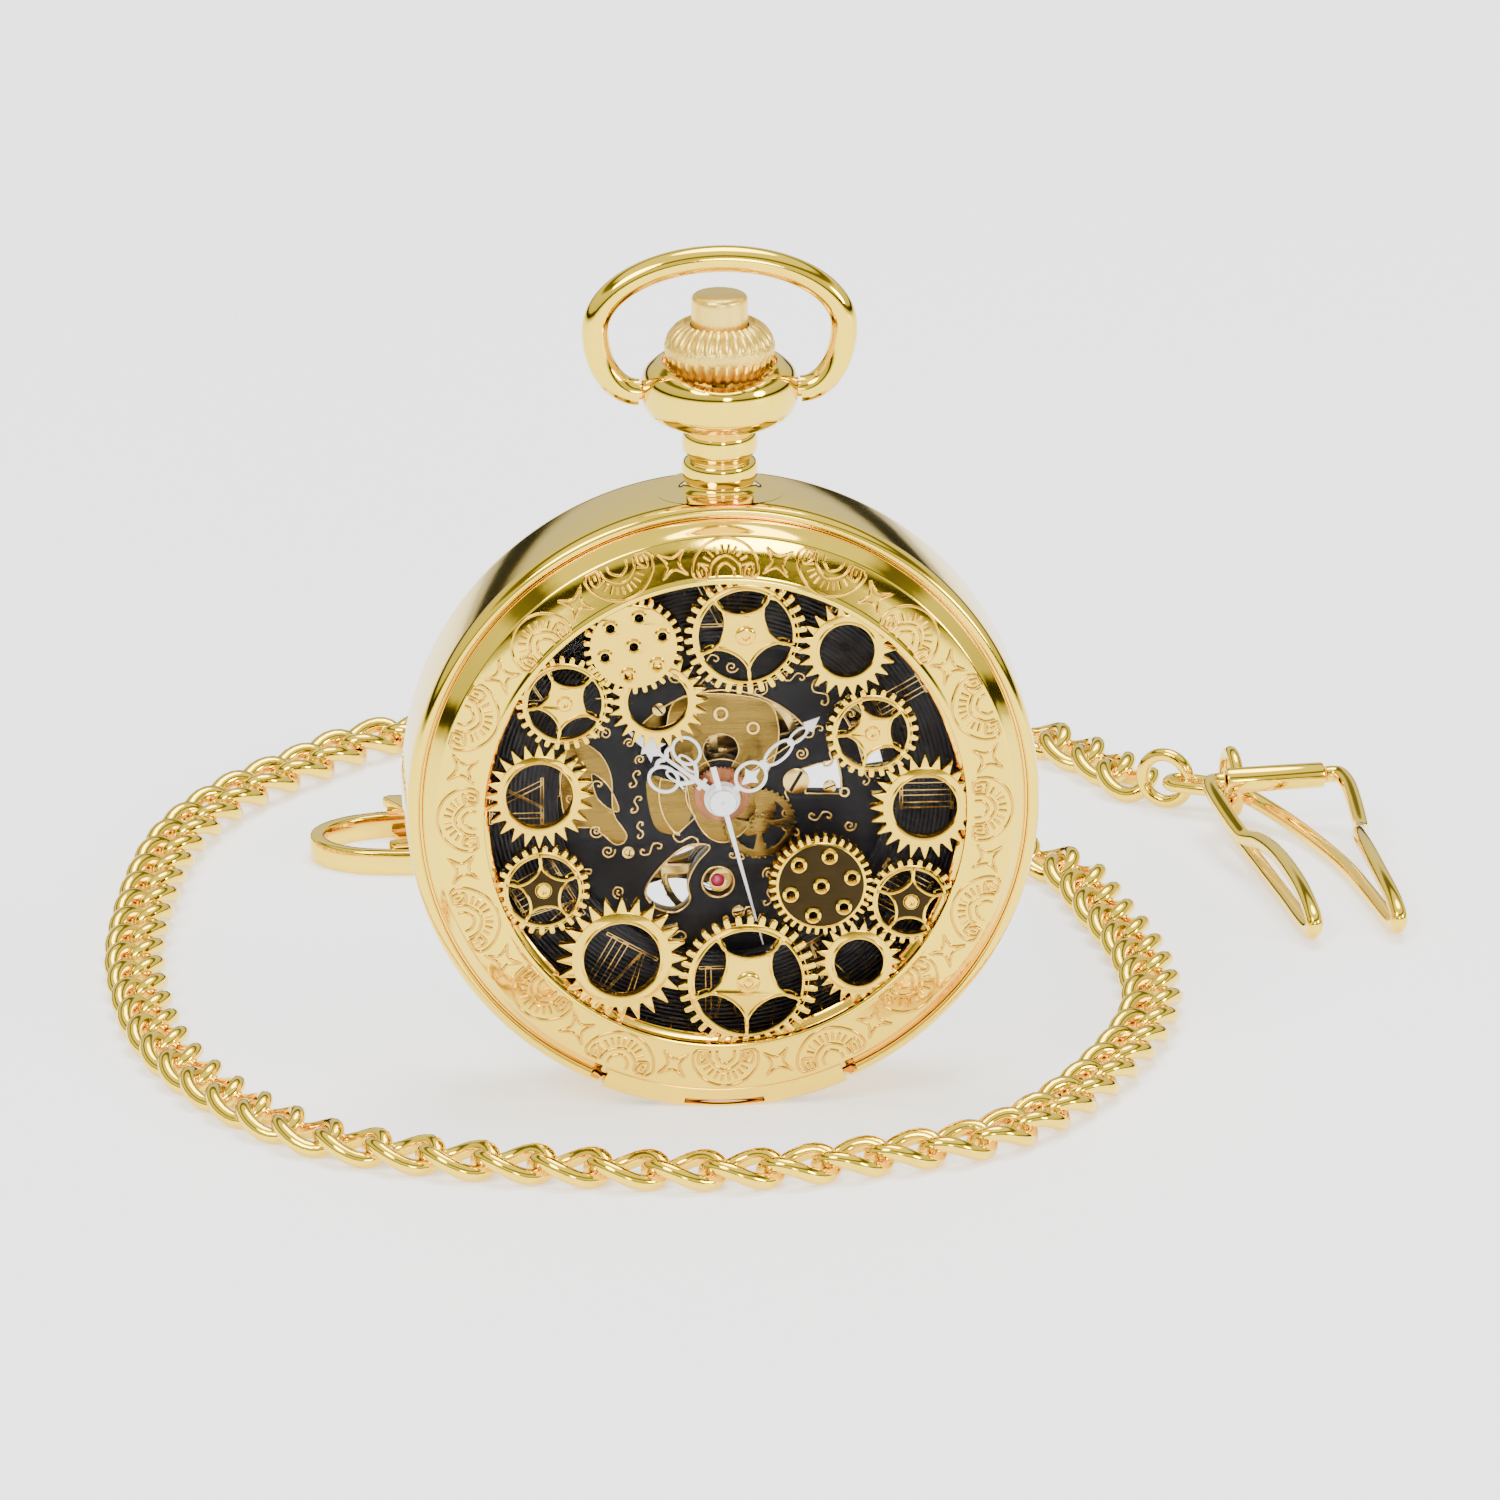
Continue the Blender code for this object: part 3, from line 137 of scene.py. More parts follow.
@dataclass(frozen=True)
class Finish:
    """A surface finish and the material slot it belongs to."""

    name: str
    slot: str
    colour: Place
    roughness: float
    texture: Texture
    metallic: float = 1.0
    coat: float = 0.0
    alpha: float = 1.0
    shade: Place | None = None
    specular: float = 0.5

    def material(self) -> bpy.types.Material:
        """Give the finish's material, made once.

        Returns:
            The Blender material.
        """
        known = bpy.data.materials.get(self.name)
        return known if known is not None else self._build()

    def _build(self) -> bpy.types.Material:
        """Make the material and its nodes.

        Returns:
            The new material.
        """
        made = bpy.data.materials.new(self.name)
        made.use_nodes = True
        tree = made.node_tree
        stretch, scale, depth, spread = TEXTURE_RULES[self.texture]
        coords = add_node(tree, "ShaderNodeTexCoord").outputs["Object"]
        mapping = add_node(tree, "ShaderNodeMapping", {"Vector": coords}, {"Scale": stretch})
        noise = add_node(tree, "ShaderNodeTexNoise", {"Vector": mapping.outputs["Vector"]},
                         {"Scale": scale, "Detail": 4.0}).outputs["Fac"]
        rough = add_node(tree, "ShaderNodeMapRange", {"Value": noise},
                         {"To Min": self.roughness * (1 - spread),
                          "To Max": self.roughness * (1 + spread)})
        turned = self.texture in (Texture.GROOVED, Texture.SNAILED)
        height = self._grooves(tree, coords) if turned else noise
        bump = add_node(tree, "ShaderNodeBump", {"Height": height},
                        {"Distance": depth * MM, "Strength": 1.0})
        joins = {"Roughness": rough.outputs["Result"], "Normal": bump.outputs["Normal"]}
        if self.shade is not None:
            tint = add_node(tree, "ShaderNodeMix", {"Factor": noise},
                            {"A": (*self.colour, 1.0), "B": (*self.shade, 1.0)},
                            data_type="RGBA")
            joins["Base Color"] = tint.outputs["Result"]
        feed_node(tree, tree.nodes["Principled BSDF"], joins, {
            "Base Color": (*self.colour, 1.0), "Metallic": self.metallic,
            "Roughness": self.roughness, "Alpha": self.alpha,
            "Specular IOR Level": self.specular, "Coat Weight": self.coat,
            "Coat Roughness": 0.05})
        return made

    def _grooves(self, tree: bpy.types.NodeTree, coords: bpy.types.NodeSocket
                 ) -> bpy.types.NodeSocket:
        """Make fine turned grooves about the dial's middle.

        Args:
            tree: The material's tree.
            coords: The texture coordinates.

        Returns:
            The socket that gives the grooves' height.
        """
        pitch = 0.32 if self.texture is Texture.GROOVED else 0.12
        centre = add_node(tree, "ShaderNodeVectorMath", {0: coords},
                          {1: (0.0, 0.0, CENTRE_Z * MM)}, operation="SUBTRACT")
        flat = add_node(tree, "ShaderNodeVectorMath", {0: centre.outputs["Vector"]},
                        {1: (1.0, 0.0, 1.0)}, operation="MULTIPLY")
        radius = add_node(tree, "ShaderNodeVectorMath", {0: flat.outputs["Vector"]},
                          operation="LENGTH")
        turns = add_node(tree, "ShaderNodeMath", {0: radius.outputs["Value"]},
                         {1: 2 * math.pi / (pitch * MM)}, operation="MULTIPLY")
        wave = add_node(tree, "ShaderNodeMath", {0: turns.outputs["Value"]}, operation="SINE")
        return wave.outputs["Value"]


# stretch of the pattern, its scale per metre, depth of its bump in mm, spread of the roughness
TEXTURE_RULES: dict[Texture, tuple[Place, float, float, float]] = {
    Texture.POLISHED: ((1, 1, 1), 260.0, 0.012, 0.35),
    Texture.SATIN: ((1, 1, 0.12), 5200.0, 0.03, 0.25),
    Texture.GRAINED: ((1, 1, 1), 3600.0, 0.12, 0.3),
    Texture.BRUSHED: ((0.05, 1, 1), 4200.0, 0.02, 0.3),
    Texture.GROOVED: ((1, 1, 1), 900.0, 0.035, 0.25),
    Texture.SNAILED: ((1, 1, 1), 900.0, 0.012, 0.25),
    Texture.ENAMEL: ((1, 1, 1), 700.0, 0.01, 0.2),
    Texture.CLEAR: ((1, 1, 1), 60.0, 0.001, 0.2),
}

GOLD = Finish("polished_gold", "gold_polished", (0.97, 0.7, 0.05), 0.08, Texture.POLISHED,
              shade=(0.94, 0.64, 0.035))
GOLD_CAST = Finish("cast_gold", "gold_polished", (0.94, 0.67, 0.045), 0.13, Texture.POLISHED,
                   shade=(0.86, 0.52, 0.04))
# The ornament's gold darkened as painted shade, so that the relief lines of the lid ring stand out.
GOLD_PAINTED_RELIEF_SHADE = Finish("painted_relief_shade_gold", "gold_polished", (0.78, 0.46, 0.035), 0.12, Texture.POLISHED,
                   shade=(0.66, 0.38, 0.03))
# Near-black gold: painted dark reflection, laid as a thin sheet on the faces of three polished lid
# gears.
GOLD_PAINTED_DARK_REFLECTION = Finish("painted_dark_reflection_gold", "gold_polished", (0.04, 0.026, 0.008), 0.3, Texture.POLISHED,
                   metallic=0.8, shade=(0.02, 0.012, 0.004), specular=0.15)
GOLD_SATIN = Finish("satin_gold", "gold_satin", (0.95, 0.69, 0.13), 0.32, Texture.SATIN,
                    shade=(0.9, 0.63, 0.1))
GOLD_ROUGH = Finish("grained_gold", "gold_satin", (0.9, 0.65, 0.11), 0.4, Texture.GRAINED)
GILT = Finish("gilt_brass", "brass_fine", (0.3, 0.19, 0.035), 0.26, Texture.BRUSHED,
              shade=(0.17, 0.1, 0.02))
GILT_BRIGHT = Finish("bright_gilt", "brass_fine", (0.8, 0.55, 0.16), 0.2, Texture.POLISHED)
COPPER = Finish("bright_copper", "copper", (0.6, 0.26, 0.12), 0.22, Texture.SNAILED)
STEEL = Finish("bright_steel", "steel_bright", (0.55, 0.55, 0.58), 0.2, Texture.BRUSHED)
BLACK_DIAL = Finish("grooved_black", "black_plate", (0.006, 0.005, 0.009), 0.3,
                    Texture.GROOVED, metallic=0.0, coat=0.12, specular=0.2)
BLACK_PLATE = Finish("smooth_black", "black_plate", (0.008, 0.007, 0.009), 0.35,
                     Texture.POLISHED, metallic=0.0, specular=0.15)
WHITE = Finish("white_lacquer", "white_enamel", (0.95, 0.95, 0.96), 0.3, Texture.ENAMEL,
               metallic=0.0)
GLASS = Finish("clear_crystal", "clear_glass", (0.01, 0.01, 0.01), 0.02, Texture.CLEAR,
               metallic=0.0, alpha=0.035)
RUBY = Finish("ruby_jewel", "ruby", (0.5, 0.01, 0.09), 0.08, Texture.POLISHED, metallic=0.0,
              coat=1.0)


# ---------------------------------------------------------------- outlines
def arc(x: float, y: float, radius: float, start: float, end: float, count: int) -> Loop:
    """Points on an arc.

    Args:
        x: Middle of the arc, to the right.
        y: Middle of the arc, upwards.
        radius: Its radius.
        start: First angle in degrees.
        end: Last angle in degrees.
        count: Number of spans.

    Returns:
        The points, both ends included.
    """
    steps = [math.radians(start + (end - start) * i / count) for i in range(count + 1)]
    return [(x + radius * math.cos(a), y + radius * math.sin(a)) for a in steps]


def circle(x: float, y: float, radius: float, count: int = 32) -> Loop:
    """Points round a full circle.

    Args:
        x: Its middle, to the right.
        y: Its middle, upwards.
        radius: Its radius.
        count: Number of points.

    Returns:
        The points, the first not repeated.
    """
    return arc(x, y, radius, 0, 360, count)[:-1]


def ellipse(x: float, y: float, long: float, wide: float, angle: float, count: int = 28) -> Loop:
    """Points round an ellipse.

    Args:
        x: Its middle, to the right.
        y: Its middle, upwards.
        long: Half its length.
        wide: Half its width.
        angle: The lie of its long axis, in degrees.
        count: Number of points.

    Returns:
        The points, the first not repeated.
    """
    turn = math.radians(angle)
    points = []
    for i in range(count):
        a = 2 * math.pi * i / count
        u, v = long * math.cos(a), wide * math.sin(a)
        points.append((x + u * math.cos(turn) - v * math.sin(turn),
                       y + u * math.sin(turn) + v * math.cos(turn)))
    return points


def away(start: Point, angle: float, distance: float) -> Point:
    """A place at a distance from another.

    Args:
        start: The other place.
        angle: Direction in degrees.
        distance: How far.

    Returns:
        The new place.
    """
    turn = math.radians(angle)
    return (start[0] + distance * math.cos(turn), start[1] + distance * math.sin(turn))


def smooth(points: list, closed: bool = False, per: int = 6) -> list:
    """A smooth curve through points.

    Args:
        points: The places it passes, of two or three numbers each.
        closed: Whether it joins up with its start.
        per: Points made for each span.

    Returns:
        The points of the curve.
    """
    total = len(points)
    out = []
    for i in range(total if closed else total - 1):
        before = points[(i - 1) % total] if closed or i else points[0]
        here, there = points[i], points[(i + 1) % total]
        after = points[(i + 2) % total] if closed or i + 2 < total else points[-1]
        for step in range(per):
            t = step / per
            out.append(tuple(
                0.5 * (2 * b + (c - a) * t + (2 * a - 5 * b + 4 * c - d) * t**2
                       + (3 * b - a - 3 * c + d) * t**3)
                for a, b, c, d in zip(before, here, there, after)))
    if not closed:
        out.append(tuple(points[-1]))
    return out


def strap(points: Loop, half: float, taper: float = 1.0) -> Loop:
    """The outline of a strap along an open path.

    Args:
        points: The path's points.
        half: Half the strap's width at its start.
        taper: Its width at the end as a part of that at the start.

    Returns:
        The closed outline.
    """
    left, right = [], []
    for i, (x, y) in enumerate(points):
        ahead, behind = points[min(i + 1, len(points) - 1)], points[max(i - 1, 0)]
        dx, dy = ahead[0] - behind[0], ahead[1] - behind[1]
        size = math.hypot(dx, dy) or 1.0
        wide = half * (1 + (taper - 1) * i / (len(points) - 1))
        left.append((x - dy / size * wide, y + dx / size * wide))
        right.append((x + dy / size * wide, y - dx / size * wide))
    return left + right[::-1]


def spiral(x: float, y: float, radius: float, turns: float, start: float) -> Loop:
    """A spiral that opens outwards from its middle.

    Args:
        x: Its middle, to the right.
        y: Its middle, upwards.
        radius: Its outer radius.
        turns: Number of turns.
        start: Angle at its inner end, in degrees.

    Returns:
        The points from the inner end to the outer.
    """
    spans_a_turn, eye = 14, 0.12
    count = max(8, int(turns * spans_a_turn))
    return [away((x, y), start + 360 * turns * i / count, radius * (eye + (1 - eye) * i / count))
            for i in range(count + 1)]


def scroll(x: float, y: float, size: float, angle: float) -> Loop:
    """An S-shaped scroll with a curl at each end.

    Args:
        x: Its middle, to the right.
        y: Its middle, upwards.
        size: Half its length.
        angle: Its lie in degrees.

    Returns:
        The points of the scroll.
    """
    half = [(0.0, 0.0), (0.35, 0.25), (0.75, 0.1), (0.9, -0.25), (0.62, -0.42), (0.48, -0.2)]
    full = [(-a, -b) for a, b in reversed(half[1:])] + half
    turn = math.radians(angle)
    return smooth([(x + size * (a * math.cos(turn) - b * math.sin(turn)),
                    y + size * (a * math.sin(turn) + b * math.cos(turn))) for a, b in full],
                  per=3)


# ---------------------------------------------------------------- makers
class Maker:
    """Makes mesh pieces and puts them on the frame."""

    @staticmethod
    def from_mesh(name: str, mesh: bpy.types.Mesh, frame: Matrix = UPRIGHT) -> bpy.types.Object:
        """Link a mesh as an object, its place put into its vertices.

        Args:
            name: The object's name.
            mesh: The mesh, which takes the same name.
            frame: Where the mesh was drawn.

        Returns:
            The new object.
        """
        mesh.transform(frame)
        obj = bpy.data.objects.new(name, mesh)
        mesh.name = name
        bpy.context.scene.collection.objects.link(obj)
        return obj

    @staticmethod
    def evaluated(obj: bpy.types.Object) -> bpy.types.Mesh:
        """A plain mesh of an object's evaluated shape.

        Args:
            obj: The object, which is used up.

        Returns:
            The mesh, its doubled points merged and its faces turned outwards.
        """
        bpy.context.view_layer.update()
        graph = bpy.context.evaluated_depsgraph_get()
        mesh = bpy.data.meshes.new_from_object(obj.evaluated_get(graph))
        work = bmesh.new()
        work.from_mesh(mesh)
        bmesh.ops.remove_doubles(work, verts=work.verts, dist=1e-7)
        bmesh.ops.recalc_face_normals(work, faces=work.faces)
        work.to_mesh(mesh)
        work.free()
        bpy.data.objects.remove(obj, do_unlink=True)
        return mesh

    @staticmethod
    def curve(name: str, paths: list, closed: bool, flat: bool) -> bpy.types.Object:
        """A curve object from one or more paths in millimetres.

        Args:
            name: The curve's name.
            paths: Lists of points of two or three numbers.
            closed: Whether each path joins its start.
            flat: Whether the curve is a filled outline.

        Returns:
            The curve object.
        """
        data = bpy.data.curves.new(name, "CURVE")
        data.dimensions = "2D" if flat else "3D"
        for path in paths:
            run = data.splines.new("POLY")
            run.points.add(len(path) - 1)
            for point, place in zip(run.points, path):
                spot = [v * MM for v in place] + [0.0] * (3 - len(place))
                point.co = (*spot, 1.0)
            run.use_cyclic_u = closed
        obj = bpy.data.objects.new(name, data)
        bpy.context.scene.collection.objects.link(obj)
        return obj

    def plate(self, name: str, loops: list[Loop], low: float, high: float, edge: float = 0.04,
              frame: Matrix = DIAL) -> bpy.types.Object:
        """A flat piece with rounded edges.

        Args:
            name: The piece's name.
            loops: Closed outlines; one inside another is a hole.
            low: Lower face along the frame's z.
            high: Upper face along the frame's z.
            edge: Size of the rounding on its edges.
            frame: Where the outlines are drawn.

        Returns:
            The new object.
        """
        obj = self.curve(name, loops, True, True)
        data = obj.data
        data.fill_mode = "BOTH"
        data.extrude = ((high - low) / 2 - edge) * MM
        data.bevel_depth = edge * MM
        data.offset = -edge * MM
        data.bevel_resolution = 1
        mesh = self.evaluated(obj)
        lift = Matrix.Translation((0.0, 0.0, (low + high) / 2 * MM))
        return self.from_mesh(name, mesh, frame @ lift)

    def wires(self, name: str, paths: list, radius: float, closed: bool = False,
              frame: Matrix = UPRIGHT, sides: int = 2) -> bpy.types.Object:
        """Round wires along paths.

        Args:
            name: The piece's name.
            paths: Their centre lines, of two or three numbers a point.
            radius: The wire's radius.
            closed: Whether each path joins its start.
            frame: Where the paths are drawn.
            sides: Fineness of the wire's roundness.

        Returns:
            The new object.
        """
        obj = self.curve(name, paths, closed, False)
        obj.data.bevel_depth = radius * MM
        obj.data.bevel_resolution = sides
        obj.data.use_fill_caps = not closed
        return self.from_mesh(name, self.evaluated(obj), frame)

    def lathe(self, name: str, profile: Loop, closed: bool, steps: int = 64,
              frame: Matrix = DIAL, sweep: tuple[float, float] | None = None
              ) -> bpy.types.Object:
        """A piece turned about the frame's z.

        Args:
            name: The piece's name.
            profile: Points of (radius, z).
            closed: Whether the profile is a closed section.
            steps: Spans round the axis.
            frame: Where the piece is turned.
            sweep: Start and end angle in degrees of a part turn with closed ends.

        Returns:
            The new object.
        """
        start, end = sweep or (0.0, 360.0)
        count = steps + 1 if sweep else steps
        rings = []
        for i in range(count):
            a = math.radians(start + (end - start) * i / steps)
            rings.append([(r * math.cos(a) * MM, r * math.sin(a) * MM, z * MM)
                          for r, z in profile])
        return self.from_mesh(name, self.skin(name, rings, closed, bool(sweep)), frame)

    @staticmethod
    def skin(name: str, sections: list[list], closed: bool, open_ends: bool) -> bpy.types.Mesh:
        """A mesh over sections that follow each other.

        Args:
            name: The mesh's name.
            sections: Rows of points in metres, all of one length.
            closed: Whether each section joins its start.
            open_ends: Whether the last section stands free of the first, each with a cap.

        Returns:
            The mesh, its doubled points merged and its faces turned outwards.
        """
        work = bmesh.new()
        rings = [[work.verts.new(spot) for spot in section] for section in sections]
        count, size = len(rings), len(rings[0])
        for i in range(count - 1 if open_ends else count):
            here, there = rings[i], rings[(i + 1) % count]
            for j in range(size if closed else size - 1):
                k = (j + 1) % size
                work.faces.new((here[j], there[j], there[k], here[k]))
        if open_ends:
            work.faces.new(rings[0])
            work.faces.new(rings[-1])
        bmesh.ops.remove_doubles(work, verts=work.verts, dist=1e-8)
        bmesh.ops.dissolve_degenerate(work, edges=work.edges, dist=1e-9)
        bmesh.ops.recalc_face_normals(work, faces=work.faces)
        mesh = bpy.data.meshes.new(name)
        work.to_mesh(mesh)
        work.free()
        return mesh

    @staticmethod
    def join(name: str, parts: list[bpy.types.Object]) -> bpy.types.Object:
        """Put several meshes into one object, each a closed shell of it.

        Args:
            name: The joined object's name.
            parts: The objects, which are used up.

        Returns:
            The new object.
        """
        work = bmesh.new()
        for part in parts:
            work.from_mesh(part.data)
            bpy.data.objects.remove(part, do_unlink=True)
        mesh = bpy.data.meshes.new(name)
        work.to_mesh(mesh)
        work.free()
        return Maker.from_mesh(name, mesh)

    @staticmethod
    def present(obj: bpy.types.Object, finish: Finish, body: str,
                stands_for: tuple[str, ...] = (), sharp: float = 38.0) -> bpy.types.Object:
        """Dress a finished piece and put it on its body.

        Args:
            obj: The piece, in place.
            finish: Its surface finish.
            body: The CAD body it moves with.
            stands_for: CAD nodes it is shown in place of.
            sharp: Angle in degrees above which an edge stays crisp.

        Returns:
            The piece.
        """
        obj.data.materials.clear()
        obj.data.materials.append(finish.material())
        obj.data.shade_smooth()
        obj.data.set_sharp_from_angle(angle=math.radians(sharp))
        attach(obj, body)
        if stands_for:
            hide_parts(*stands_for)
        LOG.info("%s rides on %s", obj.name, body)
        return obj


class NodeTool:
    """A Geometry Nodes tree with named inputs that is run once on a host mesh."""

    def __init__(self, name: str, kinds: dict[str, str]) -> None:
        """Make the tree and its interface.

        Args:
            name: The tree's name.
            kinds: Socket kind of each input beside the host's geometry and the finish.
        """
        self.tree = bpy.data.node_groups.new(name, "GeometryNodeTree")
        face = self.tree.interface
        face.new_socket("Geometry", in_out="INPUT", socket_type="NodeSocketGeometry")
        self.ids = {key: face.new_socket(key, in_out="INPUT",
                                         socket_type=f"NodeSocket{kind}").identifier
                    for key, kind in {**kinds, "Finish": "Material"}.items()}
        face.new_socket("Geometry", in_out="OUTPUT", socket_type="NodeSocketGeometry")
        self.given = self.node("NodeGroupInput").outputs

    def node(self, kind: str, joins: dict | None = None, values: dict | None = None,
             **settings: str) -> bpy.types.Node:
        """Add a node to the tool's tree.

        Args:
            kind: The node's type.
            joins: Sockets that feed it, by the name or number of its input.
            values: Fixed values of its inputs, by name or number.
            settings: Values of the node's own properties.

        Returns:
            The new node.
        """
        return add_node(self.tree, kind, joins, values, **settings)

    def close_tree(self, shape: bpy.types.NodeSocket) -> None:
        """Make the copies real, give them the finish and hand them out.

        Args:
            shape: The socket with the finished copies.
        """
        real = self.node("GeometryNodeRealizeInstances", {"Geometry": shape})
        paint = self.node("GeometryNodeSetMaterial", {"Geometry": real.outputs["Geometry"],
                                                      "Material": self.given["Finish"]})
        self.node("NodeGroupOutput", {"Geometry": paint.outputs["Geometry"]})

    def run(self, name: str, base: bpy.types.Object | None, finish: Finish,
            values: dict[str, object]) -> bpy.types.Mesh:
        """Run the tree and make its result a plain mesh.

        Args:
            name: Name of the host where there is no base.
            base: A mesh object that joins the result, or none; it is used up.
            finish: The result's finish.
            values: Values of the tree's other inputs; objects among them are used up.

        Returns:
            The mesh.
        """
        host = base or bpy.data.objects.new(name + "_host", bpy.data.meshes.new(name))
        if base is None:
            bpy.context.scene.collection.objects.link(host)
        step = host.modifiers.new("tool", "NODES")
        step.node_group = self.tree
        for key, value in {**values, "Finish": finish.material()}.items():
            step[self.ids[key]] = value
        mesh = Maker.evaluated(host)
        for used in values.values():
            if isinstance(used, bpy.types.Object):
                bpy.data.objects.remove(used, do_unlink=True)
        return mesh


class RingOfParts(NodeTool):
    """Sets copies of a part evenly round the dial's axis."""

    def __init__(self) -> None:
        """Build the tree."""
        super().__init__("ring_of_parts", {"Part": "Object", "Count": "Int", "Radius": "Float",
                                           "Phase": "Float"})
        given = self.given
        ring = self.node("GeometryNodeMeshCircle", {"Vertices": given["Count"],
                                                    "Radius": given["Radius"]})
        step = self.node("ShaderNodeMath", {1: given["Count"]}, {0: 2 * math.pi},
                         operation="DIVIDE")
        index = self.node("GeometryNodeInputIndex")
        turn = self.node("ShaderNodeMath", {0: index.outputs[0], 1: step.outputs[0]},
                         operation="MULTIPLY")
        spin = self.node("ShaderNodeCombineXYZ", {"Z": turn.outputs[0]})
        part = self.node("GeometryNodeObjectInfo", {"Object": given["Part"]})
        copies = self.node("GeometryNodeInstanceOnPoints", {
            "Points": ring.outputs["Mesh"], "Instance": part.outputs["Geometry"],
            "Rotation": spin.outputs[0]})
        phase = self.node("ShaderNodeCombineXYZ", {"Z": given["Phase"]})
        turned = self.node("GeometryNodeTransform", {"Geometry": copies.outputs["Instances"],
                                                     "Rotation": phase.outputs[0]})
        both = self.node("GeometryNodeJoinGeometry", {"Geometry": turned.outputs["Geometry"]})
        self.tree.links.new(given["Geometry"], both.inputs["Geometry"])
        self.close_tree(both.outputs["Geometry"])

    def make(self, name: str, part: bpy.types.Object, count: int, radius: float, finish: Finish,
             phase: float = 0.0, base: bpy.types.Object | None = None,
             frame: Matrix = DIAL) -> bpy.types.Object:
        """Set a part round the axis.

        Args:
            name: The result's name.
            part: The part, drawn with the axis at its origin and x outwards; it is used up.
            count: How many.
            radius: Distance from the axis, in millimetres.
            finish: The finish of all of it.
            phase: Turn of the whole ring, in degrees.
            base: A mesh to join with it, which is used up.
            frame: Where the ring's axis stands.

        Returns:
            The new object, a plain mesh.
        """
        mesh = self.run(name, base, finish, {"Part": part, "Count": count, "Radius": radius * MM,
                                             "Phase": math.radians(phase)})
        return Maker.from_mesh(name, mesh, frame)


class LinksOnPath(NodeTool):
    """Sets chain links along a curve on the floor."""

    def __init__(self) -> None:
        """Build the tree."""
        super().__init__("links_on_path", {"Path": "Object", "Link": "Object", "Count": "Int"})
        path, link = (self.node("GeometryNodeObjectInfo", {"Object": self.given[key]})
                      for key in ("Path", "Link"))
        points = self.node("GeometryNodeCurveToPoints", {"Curve": path.outputs["Geometry"],
                                                         "Count": self.given["Count"]})
        aim = self.node("FunctionNodeAlignRotationToVector", {"Vector": points.outputs["Tangent"]},
                        axis="X", pivot_axis="Z")
        copies = self.node("GeometryNodeInstanceOnPoints", {
            "Points": points.outputs["Points"], "Instance": link.outputs["Geometry"],
            "Rotation": aim.outputs["Rotation"]})
        self.close_tree(copies.outputs["Instances"])

    def make(self, name: str, path: bpy.types.Object, link: bpy.types.Object, count: int,
             finish: Finish) -> bpy.types.Object:
        """Set links along a path.

        Args:
            name: The chain's name.
            path: The curve; it is used up.
            link: One link along x at the origin; it is used up.
            count: How many links.
            finish: Their finish.

        Returns:
            The chain as a plain mesh.
        """
        return Maker.from_mesh(name, self.run(name, None, finish, {"Path": path, "Link": link,
                                                                   "Count": count}))


